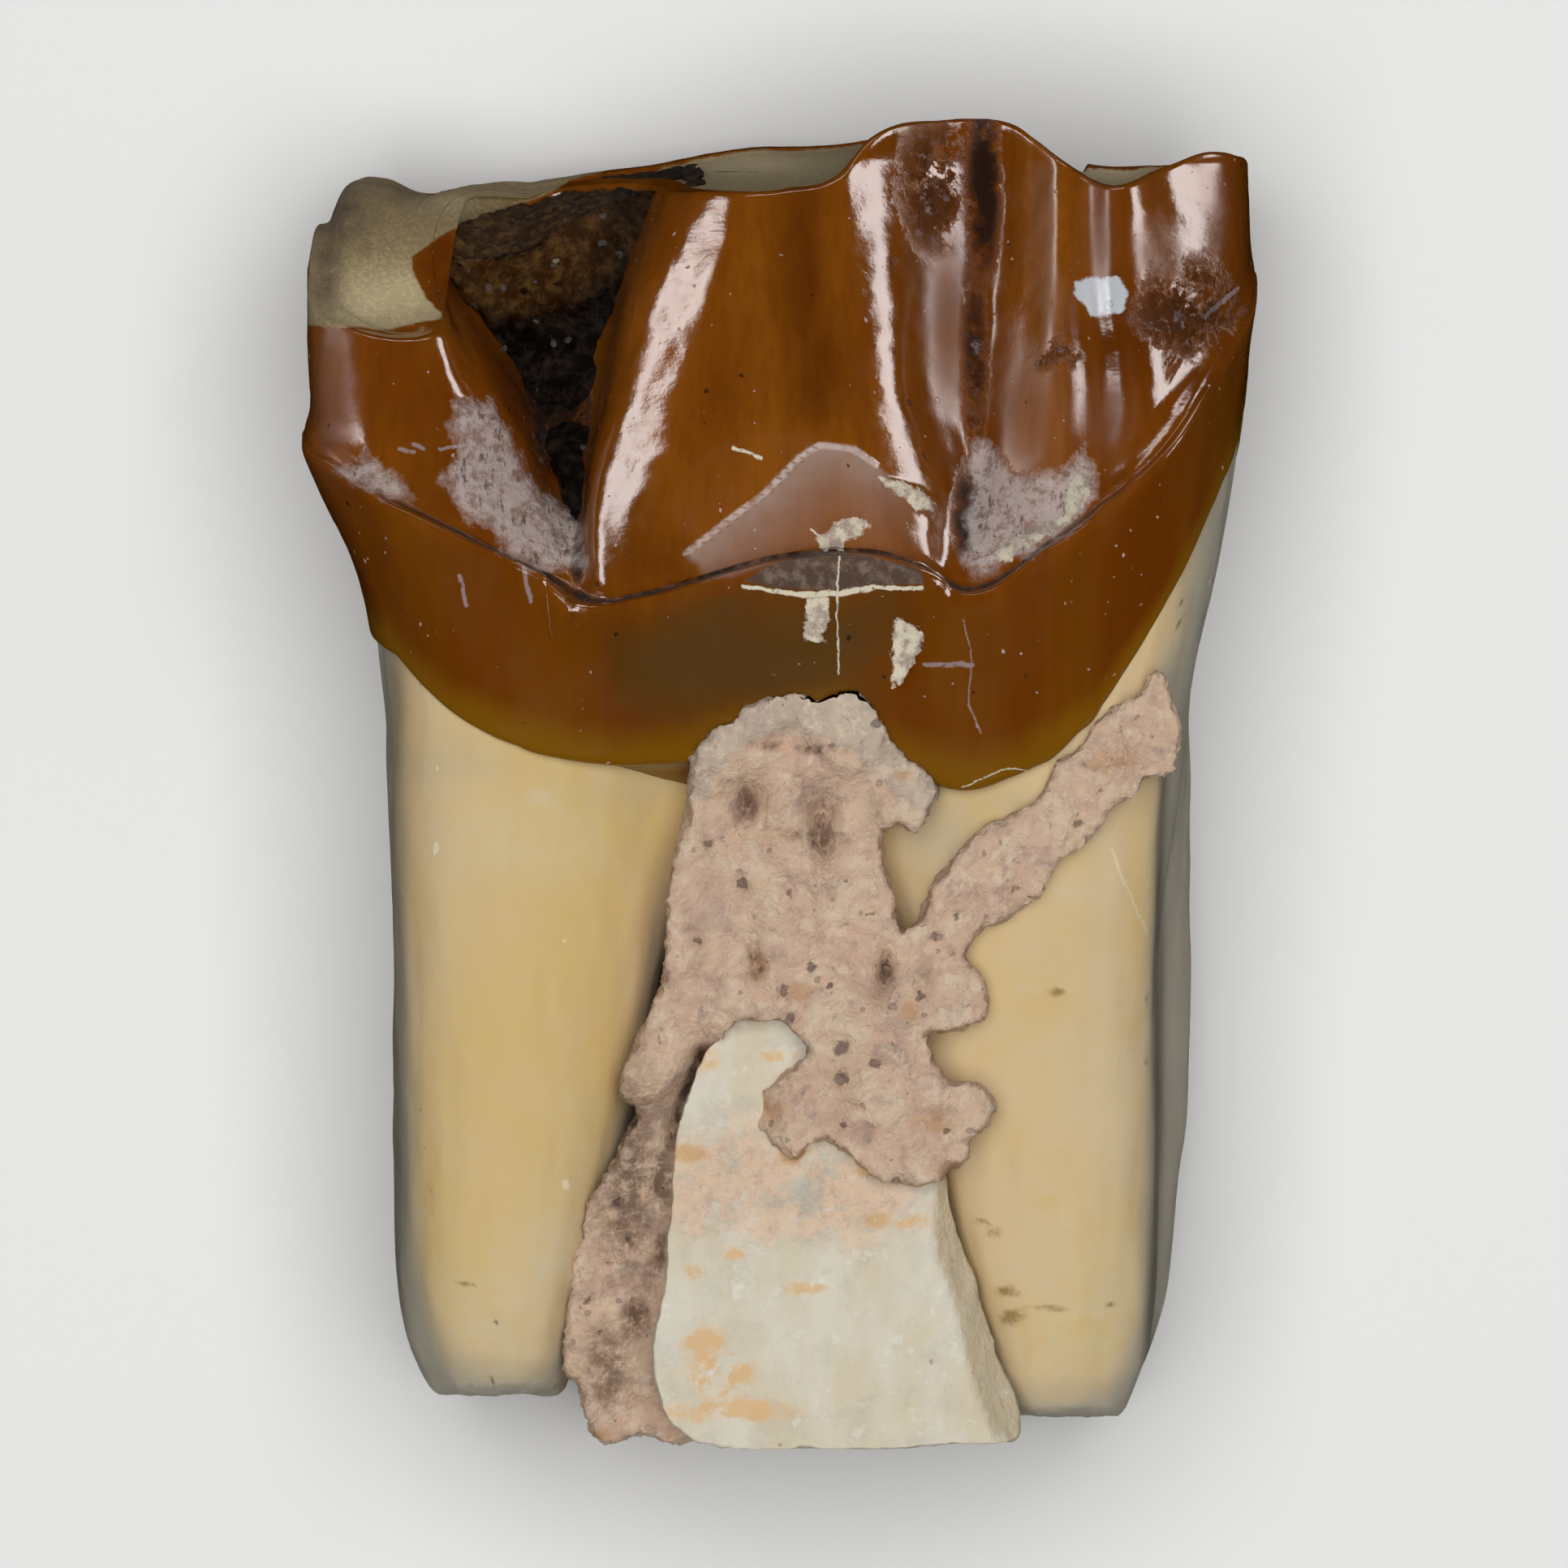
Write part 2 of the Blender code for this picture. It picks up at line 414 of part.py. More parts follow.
def combine(obj, other, operation):
    cut = obj.modifiers.new(f"{operation} {other.name}", "BOOLEAN")
    cut.operation = operation
    cut.object = other
    cut.solver = "EXACT"


def remesh(obj, voxel, smoothing):
    voxels = obj.modifiers.new("Voxels", "REMESH")
    voxels.mode = "VOXEL"
    voxels.voxel_size = voxel * MM
    smooth = obj.modifiers.new("Smooth", "SMOOTH")
    smooth.factor = 0.5
    smooth.iterations = smoothing
    bake(obj)


def fewer_faces(obj, triangles):
    now = sum(len(p.vertices) - 2 for p in obj.data.polygons)
    thin = obj.modifiers.new("Fewer faces", "DECIMATE")
    thin.ratio = min(1.0, triangles / now)
    thin.use_collapse_triangulate = True
    bake(obj)


def keep_largest(obj):
    """Drops every loose piece but the largest."""
    work = bmesh.new()
    work.from_mesh(obj.data)
    unseen, largest = set(work.verts), set()
    while unseen:
        group, edge = set(), [unseen.pop()]
        while edge:
            v = edge.pop()
            group.add(v)
            near = {link.other_vert(v) for link in v.link_edges} & unseen
            unseen -= near
            edge.extend(near)
        if len(group) > len(largest):
            largest = group
    bmesh.ops.delete(work, geom=[v for v in work.verts if v not in largest], context="VERTS")
    work.to_mesh(obj.data)
    work.free()


def join(obj, others):
    """Adds the other objects' meshes to the object's own and removes them."""
    work = bmesh.new()
    work.from_mesh(obj.data)
    for other in others:
        work.from_mesh(other.data)
        bpy.data.objects.remove(other)
    work.to_mesh(obj.data)
    work.free()


def roughen(obj, size, depth, pits):
    """Moves each point along its normal by lumpy noise with small pits."""
    mesh = obj.data
    normals = [v.normal.copy() for v in mesh.vertices]
    for v, normal in zip(mesh.vertices, normals):
        at = v.co / (size * MM)
        lift = depth * noise.fractal(at, 0.6, 2.1, 4)
        near = noise.voronoi(at * 0.8)[0][0]
        lift -= pits * max(0.0, 1 - near / 0.35)
        v.co += normal * lift * MM


def make_tooth(parts, cutters):
    tooth = place(make_crown(), parts)
    combine(tooth, as_cutter(top_cutter(), cutters), "DIFFERENCE")
    bake(tooth)
    for name, features, end in (
        ("hind_root", HIND_ROOT, HIND_ROOT_END),
        ("fore_root", FORE_ROOT, FORE_ROOT_END),
    ):
        combine(tooth, as_cutter(make_root(name, features, end), cutters), "UNION")
    bake(tooth)
    return tooth


def matrix_front(x, y):
    """How far forward the sandstone reaches at x and y, weighted from nearby heights."""
    total = weight = 0.0
    for near_x, near_y, front in MATRIX_FRONT:
        share = 1 / ((x - near_x) ** 2 + (y - near_y) ** 2 + 0.25) ** 2
        total += share * front
        weight += share
    return total / weight


def make_matrix(parts, neighbours):
    body = place(slab("rock_matrix", MATRIX_OUTLINE, MATRIX_BACK_Z, MATRIX_FRONT_Z), parts)
    remesh(body, VOXEL, 6)
    for v in body.data.vertices:
        front = matrix_front(v.co.x / MM, v.co.y / MM)
        share = (v.co.z / MM - MATRIX_BACK_Z) / (MATRIX_FRONT_Z - MATRIX_BACK_Z)
        v.co.z = (MATRIX_BACK_Z + share * (front - MATRIX_BACK_Z)) * MM
    roughen(body, 1.1, 0.32, 0.3)
    remesh(body, VOXEL, 0)
    for cutter in neighbours:
        combine(body, cutter, "DIFFERENCE")
    bake(body)
    keep_largest(body)
    remesh(body, VOXEL, 1)
    keep_largest(body)


def make_bone(parts, cutters, neighbours):
    """A wedge of jaw bone, wider at its back, with its fore edge planed off towards the root."""
    bone = place(slab("jaw_bone", BONE_OUTLINE, BONE_BACK_Z, BONE_FRONT_Z), parts)
    for v in bone.data.vertices:
        if v.co.z < BONE_FRONT_Z * MM and v.co.x < 0:
            v.co.x -= 1.0 * MM
    plane = slab("bone_bevel", ((3.0, -8.0), (4.7, -15.8), (8.0, -15.8), (8.0, -8.0)), 11.7, 15.0)
    for v in plane.data.vertices:
        if v.co.z < 13 * MM:
            v.co.z -= max(0.0, v.co.x - 3.9 * MM) * 0.9
    combine(bone, as_cutter(plane, cutters), "DIFFERENCE")
    for cutter in neighbours:
        combine(bone, cutter, "DIFFERENCE")
    bake(bone)
    keep_largest(bone)
    remesh(bone, VOXEL, 3)
    return bone


def make_sediment(parts, cutters, neighbours):
    """Dark sediment in the fold, level with the worn top at its upper edge."""
    plug = place(lump("valley_sediment", (-6.0, 12.4, 5.6), (3.4, 3.5, 3.4)), parts)
    join(plug, [lump("lump", (-4.0, 13.3, 5.6), (2.1, 2.2, 2.9))])
    remesh(plug, 0.2, 2)
    roughen(plug, 1.1, 0.25, 0.25)
    worn_top = bpy.data.objects["top_cutter"].data.copy()
    worn_top.transform(Matrix.Translation(Vector((0, -0.35, 0)) * MM))
    above = as_cutter(bpy.data.objects.new("sediment_top", worn_top), cutters)
    for cutter in [above] + neighbours:
        combine(plug, cutter, "DIFFERENCE")
    bake(plug)
    keep_largest(plug)
    remesh(plug, 0.18, 1)


def grown(obj, name, cutters):
    """A copy of the object that stands out by the gap all round, as a cutter for its neighbours."""
    copy = as_cutter(bpy.data.objects.new(name, obj.data.copy()), cutters)
    remesh(copy, 0.3, 0)
    push = copy.modifiers.new("Grow", "DISPLACE")
    push.mid_level = 0
    push.strength = (GAP + 0.06) * MM
    remesh(copy, 0.3, 0)
    return copy


def floor_block(cutters):
    """Everything below the surface that the tooth lies on."""
    outline = ((-30, -30), (30, -30), (30, 30), (-30, 30))
    return as_cutter(slab("floor_block", outline, -9.0, 0.0), cutters)


def lay_down(parts, cutters):
    """Centres the whole specimen and gives its lowest bumps small flats to lie on."""
    corners = np.array([v.co for obj in parts.objects for v in obj.data.vertices])
    middle = (corners.min(axis=0) + corners.max(axis=0)) / 2
    shift = Vector((-middle[0], -middle[1], -corners[:, 2].min() - REST_CUT * MM))
    floor = floor_block(cutters)
    for obj in list(parts.objects):
        obj.data.transform(Matrix.Translation(shift))
        combine(obj, floor, "DIFFERENCE")
        bake(obj)


def main():
    for obj in list(bpy.data.objects):
        bpy.data.objects.remove(obj)
    parts = collection_named("fossil_tooth")
    cutters = collection_named("cutters")
    tooth = make_tooth(parts, cutters)
    around_tooth = grown(tooth, "around_tooth", cutters)
    bone = make_bone(parts, cutters, [around_tooth])
    around_bone = grown(bone, "around_bone", cutters)
    make_matrix(parts, [around_tooth, around_bone])
    make_sediment(parts, cutters, [around_tooth])
    for name, count in TRIANGLES.items():
        fewer_faces(bpy.data.objects[name], count)
    lay_down(parts, cutters)
    for obj in parts.objects:
        obj.data.materials.clear()
        obj.data.materials.append(material_for(obj.name))
        obj.data.shade_smooth()


main()
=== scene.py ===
"""A fossil lower cheek tooth of a small extinct rhinoceros, lying on its tongue side in a studio.

The enamel crown, the roots, the wedge of jaw bone, the sandstone and the sediment in the deep fold
are each modelled on the frame's solids.  Tables and functions work in millimetres, with X along
the tooth row, Y towards the worn top and Z towards the outer side, which faces up.
"""

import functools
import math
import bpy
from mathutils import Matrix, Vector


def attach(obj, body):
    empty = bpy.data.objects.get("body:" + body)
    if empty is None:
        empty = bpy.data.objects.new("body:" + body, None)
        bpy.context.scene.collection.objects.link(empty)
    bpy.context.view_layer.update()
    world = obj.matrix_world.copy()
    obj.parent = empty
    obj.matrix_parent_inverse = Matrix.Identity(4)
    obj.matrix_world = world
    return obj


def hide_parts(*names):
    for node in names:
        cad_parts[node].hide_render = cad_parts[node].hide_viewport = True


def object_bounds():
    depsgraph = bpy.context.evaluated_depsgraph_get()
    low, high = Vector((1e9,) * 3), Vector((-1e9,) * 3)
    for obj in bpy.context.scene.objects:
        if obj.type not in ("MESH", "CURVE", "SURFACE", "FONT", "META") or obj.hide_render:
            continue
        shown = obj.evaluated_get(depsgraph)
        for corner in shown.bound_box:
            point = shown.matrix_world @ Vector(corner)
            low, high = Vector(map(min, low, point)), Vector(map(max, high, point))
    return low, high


bl_info = {
    "name": "Fossil Tooth",
    "version": (1, 0, 0),
    "blender": (4, 5, 0),
    "location": "3D View > Sidebar > Fossil Tooth",
    "description": "Models a fossil cheek tooth with its bone and sandstone, and its studio",
    "category": "Add Mesh",
}

import bpy
import numpy as np
from mathutils import Vector, noise

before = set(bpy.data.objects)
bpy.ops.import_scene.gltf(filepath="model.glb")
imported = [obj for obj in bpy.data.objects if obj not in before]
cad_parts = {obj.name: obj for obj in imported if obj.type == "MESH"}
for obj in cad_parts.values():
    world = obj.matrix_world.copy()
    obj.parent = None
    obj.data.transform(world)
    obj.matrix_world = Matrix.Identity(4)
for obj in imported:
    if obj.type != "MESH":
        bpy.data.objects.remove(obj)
CAD_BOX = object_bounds()

MM = 0.001
# The view that marks are placed in: millimetres in one step, its middle and its width in steps
VIEW_STEP = 0.019
VIEW_MIDDLE = (968, 966.5)
VIEW_WIDTH = 1932
# From the tables' place to the frame's
SHIFT = np.array((0.117, -0.029, -0.181))
# What counts as far outside an area, in millimetres
FAR_OUTSIDE = -3.0
# Points nearer than this are merged, in metres
MERGE_DISTANCE = 1e-7

# The crown's wall: each entry is one upright feature, as its x and its z at these heights, going
# round from the hind outer corner along the outer face and back along the tongue side
CROWN_LEVELS = (-3.0, 2.0, 5.2, 7.0, 9.0, 11.5, 14.5)
CROWN = {
    "hind_corner": ((-9, -9, -9.6, -10.2, -10.55, -10.65, -10.5),
                    (10.4, 10.6, 10.7, 10.7, 10.3, 9.8, 9.2)),
    "hind_crest": ((-7.9, -7.9, -8.6, -9.2, -9.4, -9.5, -9.5),
                   (11.5, 11.9, 11.75, 11.4, 10.85, 10.2, 9.5)),
    "hind_shoulder": ((-6.3, -6.3, -6.9, -7.4, -7.65, -8.3, -9),
                      (11.9, 12.35, 11.65, 11.2, 10.6, 9.9, 9.2)),
    "hind_flank": ((-5.3, -5.3, -5.6, -6.0, -6.85, -7.95, -8.6),
                   (11.8, 12.4, 11.05, 10.25, 9.95, 8.2, 7.2)),
    "fold": ((-4.5, -4.6, -4.9, -5.1, -5.5, -5.9, -5.9),
             (11.4, 12.45, 10.9, 8.9, 6.8, 5.0, 3.9)),
    "fold_fore": ((-3.7, -4.0, -4.7, -4.75, -4.6, -4.3, -3.4),
                  (11.1, 12.5, 11.2, 9.6, 7.9, 6.5, 5.8)),
    "middle_edge": ((-3.0, -3.3, -4.45, -4.45, -3.75, -3.1, -1.75),
                    (10.9, 12.6, 11.65, 10.95, 10.65, 10.05, 9.45)),
    "middle_stripe": ((-2.2, -2.3, -3.95, -3.9, -3.15, -2.5, -1.2),
                      (10.7, 12.75, 11.95, 11.35, 11.05, 10.45, 9.85)),
    "middle_hind": ((-1.0, -1.0, -2.4, -2.6, -2.1, -1.6, -0.7),
                    (10.6, 12.9, 12.5, 12.05, 11.55, 10.95, 10.05)),
    "middle": ((0.3, 0.4, 0.0, -0.1, -0.2, -0.1, 0.2),
               (10.6, 13.0, 12.65, 12.3, 11.75, 11.05, 10.1)),
    "middle_fore": ((1.5, 1.6, 2.0, 1.9, 1.5, 1.3, 1.1),
                    (10.7, 12.9, 12.4, 12.1, 11.65, 11.05, 10.15)),
    "fore_stripe": ((2.6, 2.7, 3.2, 3.2, 2.5, 2.2, 1.9),
                    (11.0, 12.75, 11.95, 11.45, 11.2, 10.65, 9.75)),
    "groove_hind": ((3.5, 3.5, 3.8, 3.95, 3.6, 3.6, 3.6),
                    (11.4, 12.6, 11.5, 10.8, 10.2, 9.5, 8.5)),
    "groove": ((4.3, 4.2, 4.3, 4.4, 4.45, 4.6, 4.8),
               (11.7, 12.5, 11.35, 10.45, 9.8, 9.0, 8.0)),
    "groove_fore": ((5.2, 5.1, 5.0, 5.1, 5.3, 5.6, 5.7),
                    (11.9, 12.4, 11.5, 10.9, 10.4, 9.7, 8.7)),
    "fore_rib": ((6.2, 6.2, 6.3, 6.4, 6.45, 6.5, 6.5),
                 (11.9, 12.2, 11.8, 11.45, 11.1, 10.45, 9.4)),
    "fore_fold": ((6.8, 6.8, 7.0, 7.15, 7.25, 7.0, 6.95),
                  (11.75, 12.05, 11.65, 11.3, 10.75, 10.3, 9.3)),
    "fore_crest": ((7.4, 7.4, 7.9, 8.0, 8.05, 7.75, 7.6),
                   (11.4, 11.7, 11.5, 11.4, 11.15, 10.7, 9.8)),
    "fore_shoulder": ((8.5, 8.5, 9.1, 9.3, 9.35, 9.2, 9.0),
                      (10.7, 11.0, 10.9, 10.85, 10.45, 9.85, 8.95)),
    "fore_corner": ((9.1, 9.2, 9.9, 10.2, 10.4, 10.5, 10.5),
                    (9.2, 9.6, 9.6, 9.5, 9.1, 8.6, 7.9)),
    "fore_side": ((9.3, 9.4, 10.15, 10.5, 10.75, 10.9, 10.8),
                  (6.5, 6.5, 6.5, 6.5, 6.4, 6.0, 5.8)),
    "fore_back_corner": ((9.2, 9.1, 9.6, 10.0, 10.2, 10.3, 10.2),
                         (2.8, 2.5, 2.2, 2.2, 2.4, 2.8, 3.4)),
    "fore_tongue": ((7.7, 7.7, 8.0, 8.3, 8.4, 8.6, 8.6),
                    (1.0, 0.8, 0.1, 0.2, 0.7, 1.3, 2.0)),
    "fore_valley": ((5.2, 5.2, 5.3, 5.4, 5.5, 5.7, 5.8),
                    (1.3, 0.9, 0.6, 0.9, 1.5, 2.6, 3.6)),
    "middle_tongue": ((1.5, 1.6, 1.8, 1.9, 2.0, 2.0, 2.0),
                      (1.6, 0.8, 0.2, 0.2, 0.5, 1.1, 1.9)),
    "hind_valley": ((-3.8, -3.8, -3.8, -3.9, -4.2, -4.6, -4.6),
                    (1.5, 0.8, 0.5, 0.8, 1.4, 2.3, 3.0)),
    "hind_tongue": ((-7.3, -7.4, -7.8, -8.1, -8.4, -8.6, -8.7),
                    (1.0, 0.8, 0.25, 0.35, 0.7, 1.3, 1.9)),
    "hind_back_corner": ((-8.7, -8.9, -9.3, -9.7, -10.1, -10.4, -10.3),
                         (2.6, 2.6, 2.4, 2.4, 2.7, 3.0, 3.5)),
    "hind_side": ((-9.05, -9.4, -9.95, -10.5, -10.88, -11, -10.95),
                  (6.4, 6.5, 6.5, 6.5, 6.4, 6.2, 6.0)),
}

# For each feature: height of the enamel's lower edge, height of the ledge line, and how strong the
# ledge and the crevice above it are
CROWN_LINES = {
    "hind_corner": (3.0, 7.6, 1.0, 0.0), "hind_crest": (1.7, 6.6, 1.0, 0.3),
    "hind_shoulder": (0.85, 5.5, 1.0, 1.0), "hind_flank": (0.58, 4.85, 1.0, 1.0),
    "fold": (0.48, 4.4, 1.0, 1.0), "fold_fore": (0.43, 4.25, 1.0, 1.0),
    "middle_edge": (0.45, 4.2, 1.0, 1.0), "middle_stripe": (0.55, 4.3, 1.0, 1.0),
    "middle_hind": (0.9, 4.65, 1.0, 1.0), "middle": (1.3, 5.25, 1.0, 1.0),
    "middle_fore": (1.2, 5.35, 1.0, 1.0), "fore_stripe": (0.5, 5.0, 1.0, 1.0),
    "groove_hind": (0.0, 4.65, 1.0, 1.0), "groove": (-0.15, 4.5, 1.0, 1.0),
    "groove_fore": (0.1, 4.75, 1.0, 1.0), "fore_rib": (0.55, 5.7, 1.0, 0.7),
    "fore_fold": (1.1, 6.35, 1.0, 0.4),
    "fore_crest": (1.8, 7.1, 1.0, 0.1), "fore_shoulder": (4.3, 9.0, 0.8, 0.0),
    "fore_corner": (7.0, 10.6, 0.5, 0.0), "fore_side": (9.0, 12.0, 0.2, 0.0),
    "fore_back_corner": (6.0, 9.5, 0.0, 0.0), "fore_tongue": (3.2, 7.0, 0.0, 0.0),
    "fore_valley": (1.8, 6.0, 0.0, 0.0), "middle_tongue": (1.2, 5.6, 0.0, 0.0),
    "hind_valley": (1.3, 5.6, 0.0, 0.0), "hind_tongue": (1.8, 6.0, 0.0, 0.0),
    "hind_back_corner": (3.0, 7.4, 0.0, 0.0), "hind_side": (3.7, 8.6, 0.3, 0.0),
}
# Outward reach of the wall by height: below the ledge as a share of the way up to it, and above it
# in millimetres, where a crevice follows it and where it fades out softly
BELOW_LEDGE = (
    (0, 0), (0.22, 0.02), (0.46, 0.1), (0.68, 0.25), (0.86, 0.42), (0.96, 0.5), (0.99, 0.47), (1, 0.36),
)
ABOVE_CREVICE = ((0.0, 0.22), (0.05, 0.0), (0.12, -0.06), (0.3, -0.02), (0.6, 0.0), (0.9, 0.0))
ABOVE_SOFT = ((0.0, 0.36), (0.15, 0.31), (0.4, 0.14), (0.7, 0.03), (0.9, 0.0))

# The roots: the same features and some that face the gap between the roots, as x and z at these
# shares of the way from the root's end to height zero
ROOT_LEVELS = (0.0, 0.1, 0.4, 0.76, 1.0)
HIND_ROOT_END = -14.25
FORE_ROOT_END = -14.75
HIND_ROOT = {
    "hind_side": ((-8.3, -8.75, -9.0, -9.05, -9.2), (5.0, 5.2, 5.8, 6.2, 6.4)),
    "hind_corner": ((-8.1, -8.5, -8.75, -8.8, -8.95), (9.0, 9.5, 10.1, 10.4, 10.6)),
    "hind_crest": ((-7.5, -7.8, -8.0, -7.9, -7.9), (9.9, 10.6, 11.2, 11.5, 11.75)),
    "hind_shoulder": ((-6.9, -6.9, -6.8, -6.5, -6.4), (10.2, 10.95, 11.6, 11.85, 12.1)),
    "hind_flank": ((-6.3, -6.2, -5.9, -5.5, -5.4), (10.2, 10.9, 11.55, 11.8, 12.1)),
    "fold": ((-5.8, -5.6, -5.0, -4.6, -4.6), (9.9, 10.6, 11.2, 11.55, 12.0)),
    "fold_fore": ((-5.4, -5.2, -4.4, -3.9, -4.0), (9.4, 10.0, 10.7, 11.2, 11.8)),
    "middle_edge": ((-5.2, -5.0, -4.0, -3.2, -3.2), (8.8, 9.3, 10.0, 10.5, 11.4)),
    "inner_front": ((-5.1, -4.8, -3.7, -2.5, 0.0), (7.8, 8.0, 8.3, 8.6, 9.5)),
    "inner_waist": ((-5.4, -5.2, -4.5, -3.2, 1.0), (5.4, 5.6, 6.0, 6.4, 6.5)),
    "inner_back": ((-5.3, -4.9, -3.9, -2.6, 0.0), (2.9, 2.8, 2.9, 3.2, 3.4)),
    "hind_valley": ((-5.8, -5.5, -4.8, -3.9, -3.8), (1.2, 1.0, 1.0, 1.2, 1.2)),
    "hind_tongue": ((-6.8, -6.8, -6.9, -7.1, -7.3), (0.6, 0.15, 0.3, 0.7, 0.9)),
    "hind_back_corner": ((-7.9, -8.2, -8.4, -8.6, -8.8), (1.7, 1.6, 1.9, 2.3, 2.6)),
}
FORE_ROOT = {
    "middle_fore": ((5.1, 4.75, 3.5, 2.4, 1.5), (9.2, 9.6, 10.1, 10.3, 11.2)),
    "fore_stripe": ((5.4, 5.05, 3.9, 2.9, 2.6), (9.8, 10.3, 10.8, 11.0, 11.7)),
    "groove_hind": ((5.7, 5.5, 4.5, 3.6, 3.5), (10.1, 10.7, 11.2, 11.4, 11.9)),
    "groove": ((6.1, 6.0, 5.2, 4.4, 4.3), (10.2, 10.85, 11.4, 11.65, 12.0)),
    "groove_fore": ((6.5, 6.5, 5.9, 5.3, 5.2), (10.2, 10.85, 11.5, 11.8, 12.1)),
    "fore_rib": ((6.9, 7.0, 6.7, 6.3, 6.2), (10.1, 10.8, 11.45, 11.7, 11.95)),
    "fore_crest": ((7.4, 7.6, 7.6, 7.5, 7.5), (9.9, 10.5, 11.1, 11.3, 11.4)),
    "fore_shoulder": ((7.9, 8.2, 8.4, 8.45, 8.6), (9.3, 9.8, 10.2, 10.4, 10.5)),
    "fore_corner": ((8.0, 8.4, 8.7, 8.75, 9.1), (8.2, 8.4, 8.6, 8.7, 9.1)),
    "fore_side": ((7.8, 8.15, 8.5, 8.6, 9.25), (6.3, 6.3, 6.5, 6.6, 6.6)),
    "fore_back_corner": ((8.0, 8.55, 9.3, 9.5, 9.3), (3.6, 3.6, 3.8, 3.9, 3.1)),
    "fore_tongue": ((7.0, 7.3, 7.6, 7.8, 7.7), (0.6, 0.15, 0.4, 0.8, 0.9)),
    "fore_valley": ((6.0, 6.0, 5.6, 5.2, 5.2), (1.0, 0.8, 0.9, 1.1, 1.1)),
    "middle_tongue": ((5.2, 4.9, 4.0, 3.0, 1.6), (2.6, 2.4, 2.4, 2.4, 1.2)),
    "inner_waist": ((5.2, 5.0, 4.3, 3.2, -1.0), (5.4, 5.6, 6.0, 6.4, 6.5)),
    "inner_front": ((5.0, 4.65, 3.5, 2.4, -0.5), (7.6, 7.8, 8.3, 8.6, 9.4)),
}

# The worn top: height along the outer rim and along the tongue rim, by x
OUTER_RIM = (
    (-11, 10.7), (-8, 10.6), (-6.5, 11.7), (-4, 13.3), (-2.4, 13.75), (0, 13.88), (1.2, 14.2), (2.0, 15.1),
    (3.6, 15.55), (5.3, 15.5), (6.4, 14.6), (7.6, 13.95), (8.8, 14.4), (10, 14.85), (11, 14.7),
)
TONGUE_RIM = (
    (-11, 13.1), (-10.6, 13.3), (-10.35, 13.95), (-10.0, 14.22), (-9.4, 14.22), (-8.6, 13.9), (-7.2, 14.1),
    (-6, 14.25), (-4.5, 14.5), (-3, 14.65), (-1, 14.98), (1, 15.03), (3, 15.25), (5, 15.1), (7.6, 14.55),
    (9, 14.55), (11, 14.4),
)
# How far in from the outer side the worn top has risen to the tongue rim's height, by x
RISE = ((-10.0, 4.5), (-8.0, 5.5), (-6.0, 9.0))
# Hollows of the worn top that open to the tongue side: x, half width, floor height, how far in
HOLLOWS = ((-4.9, 1.9, 9.8, 2.2), (5.2, 1.9, 10.8, 4.2))
# The middle of the worn top from the hind side to the fore side: share of the way, x and z
SPINE = (
    (0.0, -9.9, 5.8), (0.1, -9.0, 5.3), (0.2, -7.5, 4.1), (0.25, -6.0, 3.3), (0.3, -4.3, 3.6),
    (0.35, -2.9, 4.3), (0.45, -0.9, 5.4), (0.6, 2.2, 5.5), (0.7, 4.6, 6.1), (0.8, 6.4, 5.9), (1.0, 9.7, 6.0),
)

# A chip on the middle lobe, flat, above the ledge: the x it spans, and its z at two heights
CHIP_SPAN = (-2.6, 4.2)
CHIP_PLANE = ((5.2, 12.22), (7.9, 12.02))

